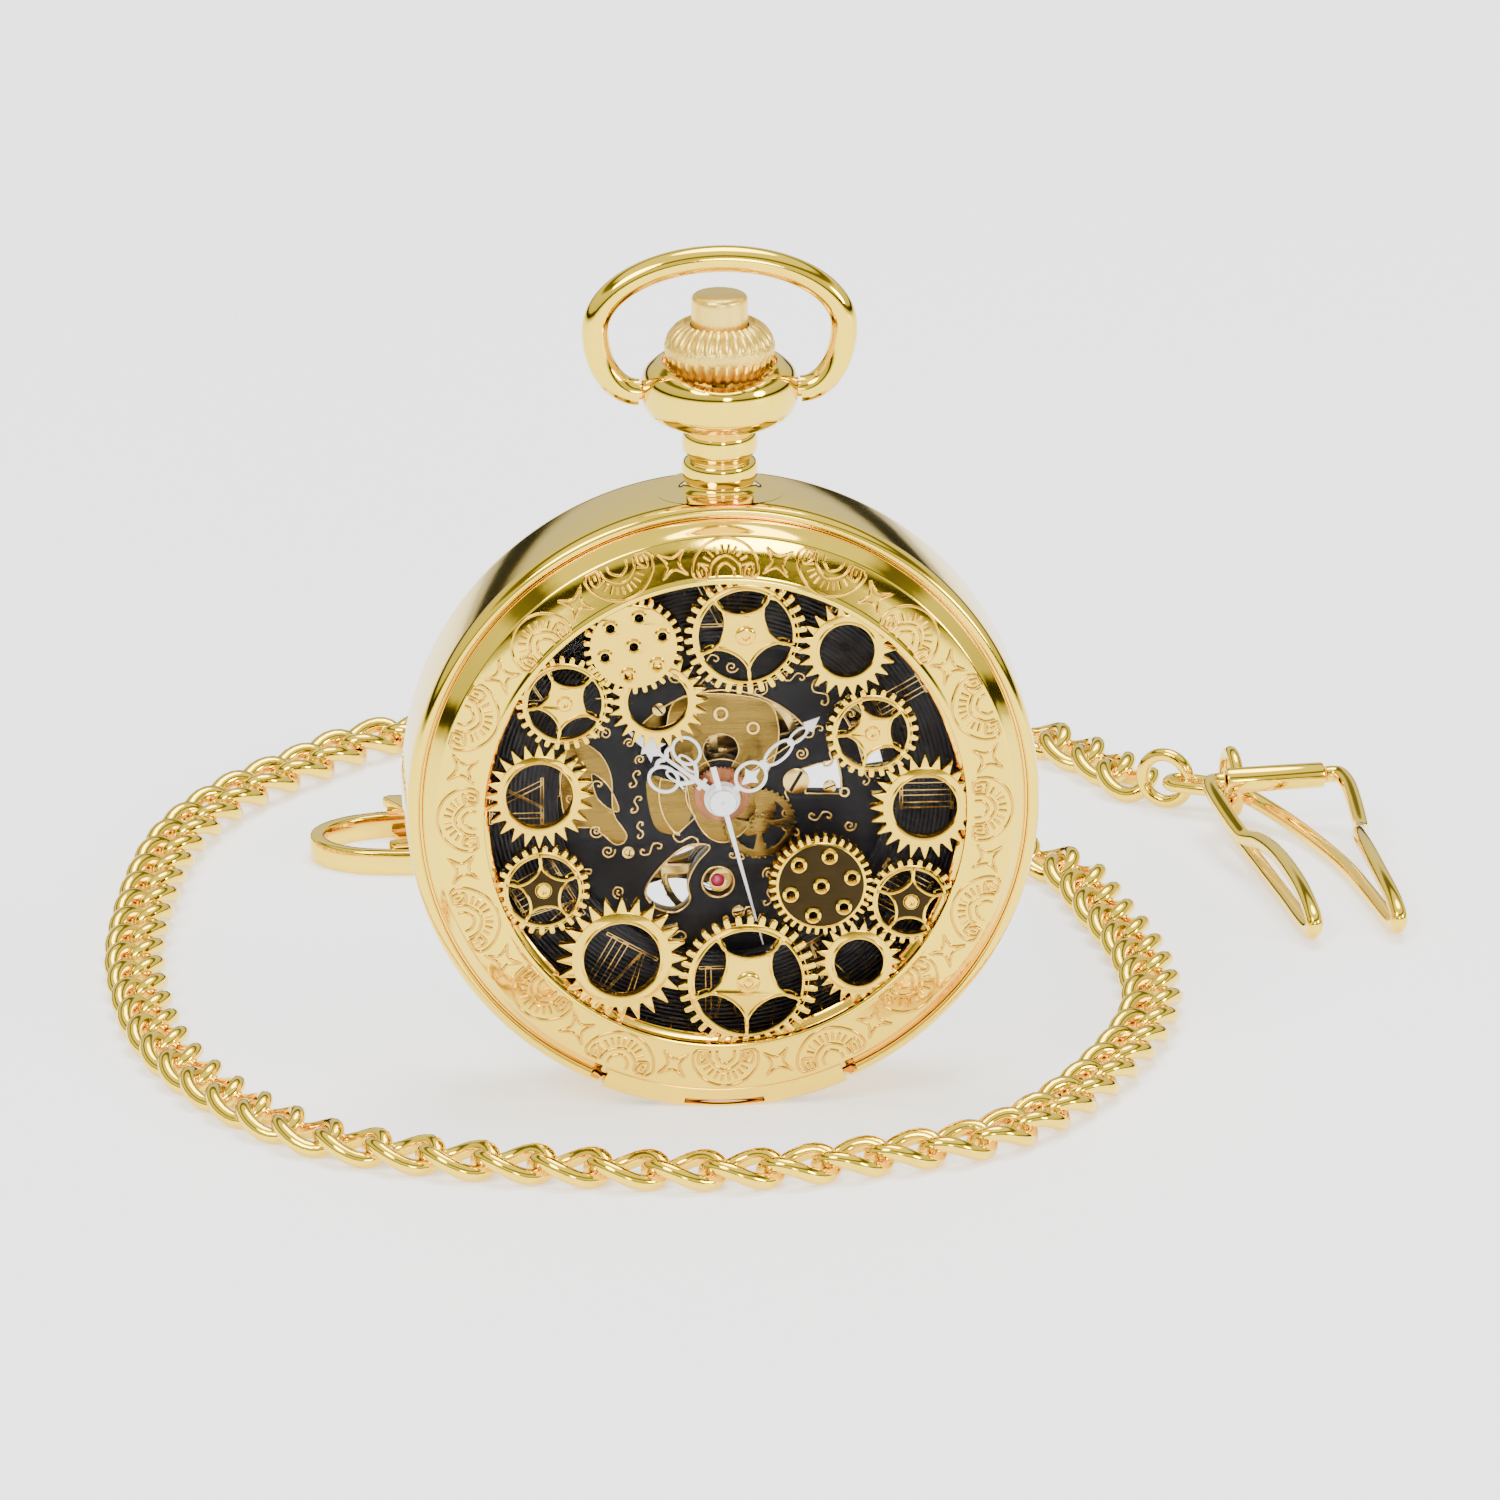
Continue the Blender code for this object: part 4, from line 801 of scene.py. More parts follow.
# ---------------------------------------------------------------- studio
@dataclass
class Studio:
    """Camera, floor, world and lamps."""

    elevation: float = 18.0
    azimuth: float = -4.0
    distance: float = 1.6
    field_mm: float = 111.9
    shift_right: float = 2.24
    shift_up: float = 25.0

    def build_camera(self) -> None:
        """A long lens a little above the watch."""
        tilt, turn = math.radians(self.elevation), math.radians(self.azimuth)
        back = Vector((math.sin(turn) * math.cos(tilt), -math.cos(turn) * math.cos(tilt),
                       math.sin(tilt)))
        right = Vector((math.cos(turn), math.sin(turn), 0.0))
        upward = back.cross(right)
        data = bpy.data.cameras.new("camera")
        data.sensor_width = 36.0
        data.lens = 36.0 * self.distance / (self.field_mm * MM)
        data.clip_start, data.clip_end = 0.05, 20.0
        camera = bpy.data.objects.new("camera", data)
        bpy.context.scene.collection.objects.link(camera)
        aim = right * self.shift_right * MM + upward * self.shift_up * MM
        camera.location = aim + back * self.distance
        camera.rotation_mode = "QUATERNION"
        camera.rotation_quaternion = (-back).to_track_quat("-Z", "Y")
        bpy.context.scene.camera = camera

    def build_room(self) -> None:
        """Pale floor, banded studio sky and soft lamps."""
        floor = Maker().plate("floor", [circle(0, 0, 2500, 64)], -40, 0, 0.5, UPRIGHT)
        paint = bpy.data.materials.new("pale_floor")
        paint.use_nodes = True
        feed_node(paint.node_tree, paint.node_tree.nodes["Principled BSDF"], {}, {
            "Base Color": (0.93, 0.93, 0.93, 1.0), "Roughness": 0.6,
            "Emission Color": (1.0, 1.0, 1.0, 1.0), "Emission Strength": 0.8})
        floor.data.materials.append(paint)
        floor.location.z = -0.00002
        self._build_sky()
        lamps = [("key", (-0.55, -0.75, 0.85), 0.55, 11.0), ("fill", (0.8, -0.5, 0.35), 0.3, 5.0),
                 ("top", (0.1, 0.25, 1.1), 0.7, 12.0), ("front", (0.15, -1.2, 0.3), 0.25, 3.0)]
        for name, place, size, power in lamps:
            data = bpy.data.lights.new(name, "AREA")
            data.shape = "DISK"
            data.size, data.energy = size, power
            lamp = bpy.data.objects.new(name, data)
            lamp.location = place
            aim = Vector((0.0, 0.0, 0.02)) - Vector(place)
            lamp.rotation_euler = aim.to_track_quat("-Z", "Y").to_euler()
            bpy.context.scene.collection.objects.link(lamp)

    @staticmethod
    def _build_sky() -> None:
        """A grey sky with bright bands, so that polished metal shows light and dark."""
        world = bpy.data.worlds.new("studio_sky")
        world.use_nodes = True
        tree = world.node_tree
        coords = add_node(tree, "ShaderNodeTexCoord").outputs["Generated"]
        split = add_node(tree, "ShaderNodeSeparateXYZ", {"Vector": coords})
        ramp = add_node(tree, "ShaderNodeValToRGB", {"Fac": split.outputs["Z"]})
        feed_node(tree, tree.nodes["Background"], {"Color": ramp.outputs["Color"]},
                  {"Strength": 1.0})
        stops = [(0.0, 1.0), (0.02, 0.8), (0.04, 0.04), (0.12, 0.03), (0.17, 0.95), (0.5, 1.2),
                 (0.57, 0.25), (0.68, 0.15), (0.76, 1.4), (1.0, 1.4)]
        bands = ramp.color_ramp.elements
        bands[0].position, bands[1].position = stops[0][0], stops[-1][0]
        for position, _ in stops[1:-1]:
            bands.new(position)
        for band, (_, level) in zip(bands, stops):
            band.color = (level, level, level, 1.0)
        bpy.context.scene.world = world


# ---------------------------------------------------------------- chain
@dataclass
class ChainLooks:
    """Curb chain with its spring clasp and belt clip."""

    maker: Maker
    links: LinksOnPath
    lie: float = 1.22
    pitch: float = 4.18
    wire: float = 0.62
    half_width: float = 1.78
    width: float = 4.6
    twist: float = 40.0
    ring_rest: float = 0.5
    ring_wire: float = 0.52
    prong_wire: float = 0.65
    sleeve_height: float = 4.2
    route: list = field(default_factory=lambda: [
        (-6.6, 58.1), (4.2, 59.4), (16.9, 56.0), (28.7, 47.4), (31.8, 35.8), (33.6, 23.8),
        (33.4, 12.7), (30.1, 1.5), (24.6, -9.7), (18.4, -16.8), (10.2, -20.3), (2.2, -22.6),
        (-5.9, -22.5), (-14.0, -20.8), (-22.4, -18.2), (-30.6, -13.2), (-36.8, -4.0),
        (-41.0, 8.2), (-42.4, 21.8), (-41.9, 35.4), (-38.6, 55.2), (-33.8, 67.0),
        (-27.2, 75.5), (-20.0, 82.5), (-6.0, 86.6), (6.1, 87.8), (18.0, 85.5), (28.6, 80.0),
        (34.0, 73.0), (36.4, 67.6)])

    def one_link(self) -> bpy.types.Object:
        """One link: a wire oval, its ends turned opposite ways about its length.

        Returns:
            The link, along x at the origin.
        """
        around, section, overlap = 28, 12, 0.97
        half = self.pitch / 2 + self.wire * overlap
        line = []
        for i in range(around):
            a = 2 * math.pi * i / around
            lean = math.radians(self.twist) * math.cos(a)
            reach = self.half_width * math.sin(a)
            line.append(Vector((half * math.cos(a), reach * math.cos(lean),
                                reach * math.sin(lean))))
        rings = []
        for i, spot in enumerate(line):
            along = (line[(i + 1) % around] - line[i - 1]).normalized()
            out = (spot - along * spot.dot(along)).normalized()
            side = along.cross(out)
            rings.append([(spot + self.wire * (out * math.cos(b) + side * math.sin(b))) * MM
                          for b in (2 * math.pi * j / section for j in range(section))])
        return Maker.from_mesh("link", Maker.skin("link", rings, True, False))

    def build(self) -> None:
        """The chain and the fittings on its ends."""
        line = [(x, y, self.lie) for x, y in smooth(self.route, per=8)]
        length = sum((Vector(b) - Vector(a)).length for a, b in zip(line, line[1:]))
        count = round(length / self.pitch)
        path = Maker.curve("chain_path", [line], False, False)
        chain = self.links.make("curb_chain", path, self.one_link(), count, GOLD)
        fittings = self.build_clip() + self.build_clasp()
        Maker.present(chain, GOLD, "case", ("chain",), ROUND_WIRE)
        LOG.info("chain of %d links, %.0f mm long", count, length)

    def build_ring(self, name: str, node: str, centre: Point, along: Vector,
                   radius: float) -> bpy.types.Object:
        """A jump ring that stands on edge on the floor.

        Args:
            name: The ring's name.
            node: The CAD node it is shown for.
            centre: Its middle, seen from above.
            along: Direction of its plane.
            radius: Radius of its centre line.

        Returns:
            The finished ring.
        """
        spans = 40
        height = radius + self.ring_rest
        line = [(centre[0] + along[0] * radius * math.cos(a),
                 centre[1] + along[1] * radius * math.cos(a), height + radius * math.sin(a))
                for a in (2 * math.pi * i / spans for i in range(spans))]
        return Maker.present(self.maker.wires(name, [line], self.ring_wire, True, sides=4), GOLD,
                             "case", (node,), ROUND_WIRE)

    def build_clip(self) -> list[bpy.types.Object]:
        """Jump rings, oval link, sleeve and the two-pronged wire of the belt clip.

        Returns:
            The finished pieces.
        """
        first, second = Vector((39.0, 63.9)), Vector((43.92, 61.39))
        along = (second - first).normalized()
        down, across = Vector((0.131, -0.991)), Vector((0.991, 0.131))
        pieces = [self.build_ring("chain_end_ring", "clip_ring_1", first, along, 1.9),
                  self.build_ring("clip_hanging_ring", "clip_ring_2", second, down, 2.3)]
        middle, side = (first + second) / 2 - along * 0.1, Vector((-along[1], along[0]))
        oval = []
        for x, y in arc(1.4, 0, 0.95, -90, 90, 12) + arc(-1.4, 0, 0.95, 90, 270, 12):
            spot = middle + along * x + side * y
            oval.append((spot[0], spot[1], 2.2))
        pieces.append(Maker.present(self.maker.wires("clip_oval_link", [oval], 0.5, True,
                                                     sides=4), GOLD, "case", ("clip_link",),
                                    ROUND_WIRE))
        top = self.sleeve_height
        arm = [(4.05, 0.0, top), (4.7, 0.0, top), (5.2, 0.6, top), (5.3, 3.2, 3.9),
               (4.8, 8.6, 3.0), (4.4, 10.2, 2.9), (3.9, 12.4, 3.3), (3.5, 17.0, 3.6),
               (3.3, 22.5, 3.3), (3.3, 26.4, 2.7), (3.3, 28.2, 1.9), (3.3, 27.6, 1.0),
               (3.3, 25.4, 0.68)]
        back = [(3.2, 19.0, 0.68), (2.9, 12.0, 0.68), (1.8, 5.0, 0.8), (0.4, 1.0, 1.3),
                (-1.5, -2.3, 2.0), (-2.5, -2.95, 2.2), (-3.4, -2.4, 2.0), (-3.75, -0.8, 1.7),
                (-3.7, 1.8, 1.2), (-3.5, 6.0, 0.75), (-3.4, 12.0, 0.68), (-3.3, 19.0, 0.68)]
        shape = arm + back + [(-w, u, z) for w, u, z in reversed(arm)]
        start = Vector((46.9, 57.9))
        line = [(*(start + across * w + down * u), z) for w, u, z in smooth(shape, per=5)]
        prongs = self.maker.wires("clip_prongs", [line], self.prong_wire, sides=5)
        pieces.append(Maker.present(prongs, GOLD, "case", ("clip_wire",), ROUND_WIRE))
        profile = [(0.0, 3.9), (0.75, 3.9), (0.93, 3.83), (1.0, 3.65), (1.0, -3.65),
                   (0.93, -3.83), (0.75, -3.9), (0.0, -3.9)]
        turn = Vector((across[0], across[1], 0)).to_track_quat("Z", "Y").to_matrix().to_4x4()
        place = Matrix.Translation(Vector((*start, top)) * MM) @ turn
        pieces.append(Maker.present(self.maker.lathe("clip_tube", profile, False, 40, place),
                                    GOLD, "case", ("clip_sleeve",)))
        return pieces

    def build_clasp(self) -> list[bpy.types.Object]:
        """Hook strap, folded body, gate and the ring that joins the chain.

        Returns:
            The finished pieces.
        """
        hook = smooth([(-18.9, 61.45), (-22.4, 60.9), (-25.0, 59.8), (-26.8, 57.9),
                       (-27.2, 55.6), (-26.2, 53.6), (-24.2, 52.3), (-21.8, 51.8),
                       (-19.6, 51.7)])
        hooked = self.maker.plate("clasp_strap", [strap(hook, 0.55)], 0.0, 1.9, 0.18, UPRIGHT)
        pieces = [Maker.present(hooked, GOLD, "case", ("clasp_hook",), ROUND_WIRE)]
        roof_line = [(-19.9, 57.4), (-19.5, 57.0), (-15.7, 57.0), (-15.2, 53.6), (-14.6, 53.2),
                       (-12.9, 53.2), (-12.4, 53.8), (-12.4, 61.2), (-12.8, 61.6),
                       (-21.5, 61.6), (-21.9, 61.2)]
        wall = [(-21.6, 60.9), (-21.6, 61.6), (-12.4, 61.6), (-12.4, 60.9)]
        base = [(-19.8, 57.0), (-12.4, 57.0), (-12.4, 61.4), (-21.6, 61.4)]
        block = [(-18.2, 57.6), (-12.9, 57.6), (-12.9, 60.7), (-18.2, 60.7)]
        layers = [("clasp_roof", roof_line, 2.35, 3.2, 0.15), ("clasp_spine", wall, 0.0, 2.6, 0.1),
                  ("clasp_base", base, 0.0, 0.5, 0.1), ("clasp_block", block, 0.45, 2.4, 0.1)]
        body = [self.maker.plate(name, [line], low, high, edge, UPRIGHT)
                for name, line, low, high, edge in layers]
        eye = [(x, y, 2.2) for x, y in circle(-11.65, 58.6, 1.2)]
        body.append(self.maker.wires("clasp_eye", [eye], 0.36, True, sides=4))
        pieces.append(Maker.present(Maker.join("clasp_channel", body), GOLD, "case",
                                    ("clasp_body",)))
        pieces.append(self.build_ring("clasp_end_ring", "clasp_ring", (-9.5, 58.6),
                                      Vector((1.0, 0.0)), 1.9))
        pivot, tip = (-13.8, 54.6), (-21.4, 53.1)
        angle = math.degrees(math.atan2(tip[1] - pivot[1], tip[0] - pivot[0]))
        lever = (arc(*pivot, 0.9, angle + 90, angle + 270, 16)
                 + arc(*tip, 0.45, angle - 90, angle + 90, 10))
        slit = strap([away(pivot, angle, 2.2), away(pivot, angle, 6.2)], 0.12)
        gate = self.maker.plate("clasp_gate_lever", [lever, circle(*pivot, 0.45, 20), slit], 0.3,
                                2.2, 0.1, UPRIGHT)
        pieces.append(Maker.present(gate, GOLD, "gate", ("clasp_gate",)))
        rivet = self.maker.plate("clasp_rivet", [circle(*pivot, 0.38, 20)], 0.0, 2.3, 0.05,
                                 UPRIGHT)
        pieces.append(Maker.present(rivet, GOLD, "case", ("clasp_pin",)))
        return pieces


# ---------------------------------------------------------------- case
class GearKind(Enum):
    """The three patterns of gear in the lid."""

    STAR = "star"
    RING = "ring"
    DISC = "disc"


@dataclass(frozen=True)
class LidGear:
    """One gear of the lid's openwork."""

    x: float
    y: float
    tip: float
    kind: GearKind
    front: float
    teeth: int
    hole: float = 0.0
    turn: float = 0.0
    # shaded: a near-black sheet of painted dark reflection lies on its face; on a disc it also
    # picks the drilled pattern.
    shaded: bool = False

    @property
    def drilled(self) -> bool:
        """Whether it is the fine-toothed disc with raised rims round its holes."""
        return self.kind is GearKind.DISC and self.shaded


@dataclass
class LidLooks:
    """Lid ring, its relief ornament and the gears."""

    maker: Maker
    ring: RingOfParts
    opening: float = 17.9
    back: float = 5.1
    crest: Point = (18.35, 6.43)
    slope: float = 0.176
    motif_radius: float = 19.85
    motif_wire: float = 0.12
    hinge_y: float = 1.05
    gears: list[LidGear] = field(default_factory=lambda: [
        LidGear(-6.8, 13.2, 3.7, GearKind.DISC, 6.32, 30, turn=20),
        LidGear(1.5, 13.8, 4.55, GearKind.STAR, 6.12, 32, turn=95),
        LidGear(9.0, 12.5, 3.65, GearKind.RING, 6.22, 22, 2.05),
        LidGear(10.9, 6.0, 3.43, GearKind.STAR, 6.12, 26, turn=75),
        LidGear(14.8, 0.2, 4.1, GearKind.RING, 6.22, 24, 2.4),
        LidGear(13.8, -7.2, 3.3, GearKind.STAR, 6.12, 26, turn=50, shaded=True),
        LidGear(7.1, -5.7, 3.87, GearKind.DISC, 6.32, 36, turn=15, shaded=True),
        LidGear(9.9, -11.8, 3.3, GearKind.RING, 6.22, 22, 1.83),
        LidGear(1.7, -13.2, 5.2, GearKind.STAR, 6.12, 34, turn=88),
        LidGear(-7.7, -11.2, 4.9, GearKind.RING, 6.22, 24, 2.85),
        LidGear(-13.5, -5.7, 3.45, GearKind.STAR, 6.12, 26, turn=60, shaded=True),
        LidGear(-13.8, 1.7, 4.1, GearKind.RING, 6.22, 24, 2.5),
        LidGear(-11.9, 8.8, 3.6, GearKind.STAR, 6.12, 28, turn=80),
        LidGear(-5.0, 8.8, 3.75, GearKind.RING, 6.02, 24, 2.23)])

    def window(self, radius: float, angle: float) -> Loop:
        """A window between two arms of a star gear.

        Args:
            radius: The gear's outer radius.
            angle: Direction of the window's middle, in degrees.

        Returns:
            The closed outline.
        """
        half, tilt = radius * 0.44, math.radians(angle)
        outer = [(math.sqrt((radius * 0.79) ** 2 - v * v), v)
                 for v in (half * i / 6 for i in range(-6, 7))]
        dip = radius * 0.3
        base = outer[0][0]
        inner = [(base - dip * math.cos(math.pi * i / 12), half * math.sin(math.pi * i / 12))
                 for i in range(5, -6, -1)]
        return [(u * math.cos(tilt) - v * math.sin(tilt), u * math.sin(tilt) + v * math.cos(tilt))
                for u, v in outer + inner]

    def tooth(self, gear: LidGear, root: float) -> bpy.types.Object:
        """One tooth, drawn outwards along x from the gear's root circle.

        Args:
            gear: The gear it belongs to.
            root: Radius of the root circle.

        Returns:
            The tooth.
        """
        pitch = 2 * math.pi * root / gear.teeth
        high = gear.tip - root
        if gear.kind is GearKind.RING:
            shape = [(-0.3, pitch * 0.42), (0.0, pitch * 0.4), (high * 0.5, pitch * 0.22),
                     (high * 0.95, pitch * 0.05), (high * 0.95, -pitch * 0.05),
                     (high * 0.5, -pitch * 0.22), (0.0, -pitch * 0.4), (-0.3, -pitch * 0.42)]
        else:
            shape = [(-0.3, pitch * 0.3), (high * 0.75, pitch * 0.27), (high, pitch * 0.18),
                     (high, -pitch * 0.18), (high * 0.75, -pitch * 0.27),
                     (-0.3, -pitch * 0.3)]
        return self.maker.plate("tooth", [shape], self.back, gear.front - 0.04, 0.06, UPRIGHT)

    @staticmethod
    def drill_places(gear: LidGear) -> Loop:
        """Places of a disc's seven holes.

        Args:
            gear: The disc.

        Returns:
            Six places on a ring and the middle.
        """
        return [away((0, 0), gear.turn + 60 * i, gear.tip * 0.61) for i in range(6)] + [(0.0, 0.0)]

    def one_gear(self, number: int, gear: LidGear) -> bpy.types.Object:
        """A gear with its teeth, windows, raised rims and boss.

        Args:
            number: Its place in the list, counted from one.
            gear: Its sizes.

        Returns:
            The gear, drawn on the lid's own plane.
        """
        root = gear.tip * (0.76 if gear.kind is GearKind.RING else 0.87)
        name = f"gear_{number:02d}"
        loops, rims, solids = [circle(0, 0, root, 72)], [], []
        front, boss, bore = gear.front, 0.0, 0.0
        if gear.kind is GearKind.STAR:
            windows = [self.window(gear.tip, gear.turn + 72 * i) for i in range(5)]
            loops += windows
            rims = [[(x, y, front - 0.03) for x, y in loop] for loop in windows]
            boss, bore = gear.tip * 0.13, gear.tip * 0.06
        elif gear.kind is GearKind.DISC:
            spots = self.drill_places(gear)
            hole, collar, lift = (0.3, 0.17, 0.1) if gear.drilled else (0.46, 0.0, 0.0)
            loops += [circle(*spot, hole, 24) for spot in spots]
            rims = [[(x, y, front + lift) for x, y in circle(*spot, hole + collar, 24)]
                    for spot in spots]
        else:
            loops.append(circle(0, 0, gear.hole, 60))
            rims = [[(x, y, front - 0.02) for x, y in circle(0, 0, gear.hole + 0.1, 60)]]
        solids.append(self.maker.plate(name, loops, self.back, front, 0.07, UPRIGHT))
        wire = 0.17 if gear.kind is GearKind.DISC else 0.13
        solids.append(self.maker.wires(name + "_rims", rims, wire, True, sides=2))
        if boss:
            profile = [(bore * 0.2, front + 0.02), (bore, front + 0.05), (bore * 1.25, front + 0.2),
                       (boss, front + 0.2), (boss * 1.25, front + 0.08), (boss * 1.4, front - 0.1),
                       (0.0, front - 0.1), (0.0, front + 0.02)]
            solids.append(self.maker.lathe(name + "_boss", profile, False, 32, UPRIGHT))
        base = Maker.join(name + "_base", solids)
        made = self.ring.make(name, self.tooth(gear, root), gear.teeth, root, GOLD_CAST,
                              gear.turn, base, UPRIGHT)
        made.data.transform(Matrix.Translation((gear.x * MM, gear.y * MM, 0.0)))
        return made

    def build_gears(self) -> None:
        """The whole openwork as one piece."""
        parts = [self.one_gear(i, gear) for i, gear in enumerate(self.gears, start=1)]
        flange = [(19.2, 5.3), (19.2, 4.97), (17.5, 4.97), (17.5, 5.1), (17.75, 5.3)]
        parts.append(self.maker.lathe("flange", flange, True, 160, UPRIGHT))
        # Near-black sheets of painted dark reflection over the faces of the shaded gears.
        for number, gear in enumerate(self.gears):
            if not gear.shaded:
                continue
            if gear.kind is GearKind.DISC:
                cuts = [circle(*spot, 0.6, 24) for spot in self.drill_places(gear)]
            else:
                cuts = [self.window(gear.tip, gear.turn + 72 * i) for i in range(5)]
                cuts.append(circle(0, 0, gear.tip * 0.18, 24))
            face = [[(x + gear.x, y + gear.y) for x, y in loop]
                    for loop in [circle(0, 0, gear.tip * 0.82, 64)] + cuts]
            Maker.present(self.maker.plate(f"shaded_face_{number}", face, gear.front - 0.1,
                                           gear.front + 0.02, 0.01), GOLD_PAINTED_DARK_REFLECTION, "lid")
        work = Maker.join("lid_openwork", parts)
        limit, flange_top = (self.opening - 0.05) * MM, 5.45 * MM
        for vert in work.data.vertices:
            reach = math.hypot(vert.co.x, vert.co.y)
            if vert.co.z > flange_top and reach > limit:
                vert.co.x *= limit / reach
                vert.co.y *= limit / reach
        work.data.transform(DIAL)
        Maker.present(work, GOLD_CAST, "lid", ("lid_gearwork",), 40)

    def face_height(self, radius: float) -> float:
        """Height of the ornamented face at a radius.

        Args:
            radius: Distance from the lid's middle.

        Returns:
            The height above the case's middle.
        """
        return self.crest[1] - (radius - self.crest[0]) * self.slope

    def relief(self, name: str, paths: list[Loop], outward: bool) -> bpy.types.Object:
        """Raised lines of one motif on the lid's face.

        Args:
            name: The motif's name.
            paths: Its lines; u runs across the ring and v along it.
            outward: Whether u points away from the lid's middle.

        Returns:
            The motif, set at angle zero.
        """
        lines = []
        for path in paths:
            line = []
            for u, v in path:
                radius = self.motif_radius + (u if outward else -u)
                a = v / self.motif_radius
                line.append((radius * math.cos(a), radius * math.sin(a),
                             self.face_height(radius)))
            lines.append(line)
        return self.maker.wires(name, lines, self.motif_wire)

    def fan(self) -> list[Loop]:
        """The lines of a fan motif, its dome at +u.

        Returns:
            The lines as (u, v) points.
        """
        dome = smooth([(-1.35, -2.3), (-0.9, -2.55), (0.1, -2.3), (1.1, -1.35), (1.5, 0.0),
                       (1.1, 1.35), (0.1, 2.3), (-0.9, 2.55), (-1.35, 2.3)])
        heart = smooth([(-1.35, -0.7), (-0.8, -0.62), (-0.35, 0.0), (-0.8, 0.62), (-1.35, 0.7)])
        inner = smooth([(-1.3, -1.25), (-0.45, -1.05), (0.2, 0.0), (-0.45, 1.05), (-1.3, 1.25)])
        rays = [[away((-0.9, 0.0), a, 1.35), away((-0.9, 0.0), a, 1.95)]
                for a in range(-72, 73, 16)]
        leaves = []
        for side in (-1, 1):
            leaves.append(smooth([(-1.35, 1.45 * side), (-0.75, 1.5 * side), (-0.3, 1.95 * side),
                                  (-0.75, 2.15 * side), (-1.3, 2.0 * side)]))
            leaves.append([(-1.15, 1.75 * side), (-0.75, 1.8 * side)])
        base = [[(-1.4, -2.3), (-1.4, -1.4)], [(-1.4, 1.4), (-1.4, 2.3)]]
        return [dome, heart, inner] + rays + leaves + base

    def build_ring(self) -> None:
        """The lid ring with its hinge lip and knuckles."""
        lip = 6.5
        profile = [(22.4, 4.15), (22.4, 4.5), (22.33, 4.7), (22.2, 4.85), (22.0, 5.08),
                   (21.75, 5.45), (21.6, 5.7), (21.5, 5.84), (21.35, 5.9), (20.0, 6.14),
                   (18.6, 6.385), (18.42, 6.42), (18.32, lip - 0.02), (18.2, lip),
                   (18.05, lip), (17.93, lip - 0.05), (17.9, lip - 0.15), (17.9, 5.55),
                   (17.97, 5.45), (18.5, 5.43), (21.0, 5.1), (21.3, 4.8), (21.3, 4.15)]
        ring = self.maker.lathe("lid_ring", profile, True, FINE_TURN, UPRIGHT)
        tab = [(23.42, 4.2), (23.46, 4.45), (23.4, 4.7), (23.1, 5.0), (22.6, 5.2), (21.8, 5.42),
               (21.5, 5.2), (21.5, 4.2)]
        rim, lip_half, knuckle_in, knuckle_out = 23.4, 9.2, 3.05, 4.8
        reach = math.degrees(math.asin(lip_half / rim))
        slot = math.degrees(math.asin(knuckle_in / rim))
        sides = [self.maker.lathe(f"tab_{i}", tab, True, 24, UPRIGHT, sweep)
                 for i, sweep in enumerate([(270 - reach, 270 - slot), (270 + slot, 270 + reach)])]
        thin = [(22.65, 4.9), (22.75, 5.0), (22.5, 5.22), (21.8, 5.42), (21.5, 5.2), (21.5, 4.9)]
        between = (270 - slot - 0.1, 270 + slot + 0.1)
        sides.append(self.maker.lathe("tab_middle", thin, True, 16, UPRIGHT, between))
        lip_low = [(23.12, 4.3), (23.12, 4.95), (23.3, 4.8), (23.42, 4.5), (23.42, 4.3)]
        sides.append(self.maker.lathe("tab_lip", lip_low, True, 16, UPRIGHT, between))
        barrel = (Matrix.Translation((0, (self.hinge_y - CENTRE_Z) * MM, 4.0 * MM))
                  @ Matrix.Rotation(math.pi / 2, 4, "Y"))
        for i, (start, end) in enumerate([(-knuckle_out, -knuckle_in),
                                          (knuckle_in, knuckle_out)]):
            knuckle = [(0.42, end), (0.78, end), (0.85, end - 0.07), (0.85, start + 0.07),
                       (0.78, start), (0.42, start)]
            sides.append(self.maker.lathe(f"knuckle_{i}", knuckle, True, 28, barrel))
        frame = Maker.join("lid_rim", [ring] + sides)
        pin = [(0.0, 4.75), (0.34, 4.75), (0.34, -4.75), (0.0, -4.75)]
        Maker.present(self.maker.lathe("hinge_rod", pin, False, 24, DIAL @ barrel), GILT, "case",
                      ("lid_hinge_pin",))
        foot = -CENTRE_Z * MM
        for vert in frame.data.vertices:
            vert.co.y = max(vert.co.y, foot)
        frame.data.transform(DIAL)
        Maker.present(frame, GOLD, "lid", ("lid_frame",))

    def build_ornament(self) -> None:
        """Fans and stars in relief round the lid ring, in gold darkened as painted shade."""
        outward = self.relief("fan_out", self.fan(), True)
        inward = self.relief("fan_in", self.fan(), False)
        tips = [away((0, 0), 45 + 90 * i, 1.35) for i in range(4)]
        star = []
        for i in range(4):
            star += smooth([tips[i], away((0, 0), 90 + 90 * i, 0.45), tips[(i + 1) % 4]])[:-1]
        star = self.relief("star", [star + star[:1]], True)
        fans = 16
        step = 360 / fans
        motifs = [self.ring.make("fans_outward", outward, fans // 2, 0.0, GOLD_PAINTED_RELIEF_SHADE),
                  self.ring.make("fans_inward", inward, fans // 2, 0.0, GOLD_PAINTED_RELIEF_SHADE, step),
                  self.ring.make("stars", star, fans, 0.0, GOLD_PAINTED_RELIEF_SHADE, step / 2)]
        Maker.present(Maker.join("lid_ornament", motifs), GOLD_PAINTED_RELIEF_SHADE, "lid", (), FINE_LINE)


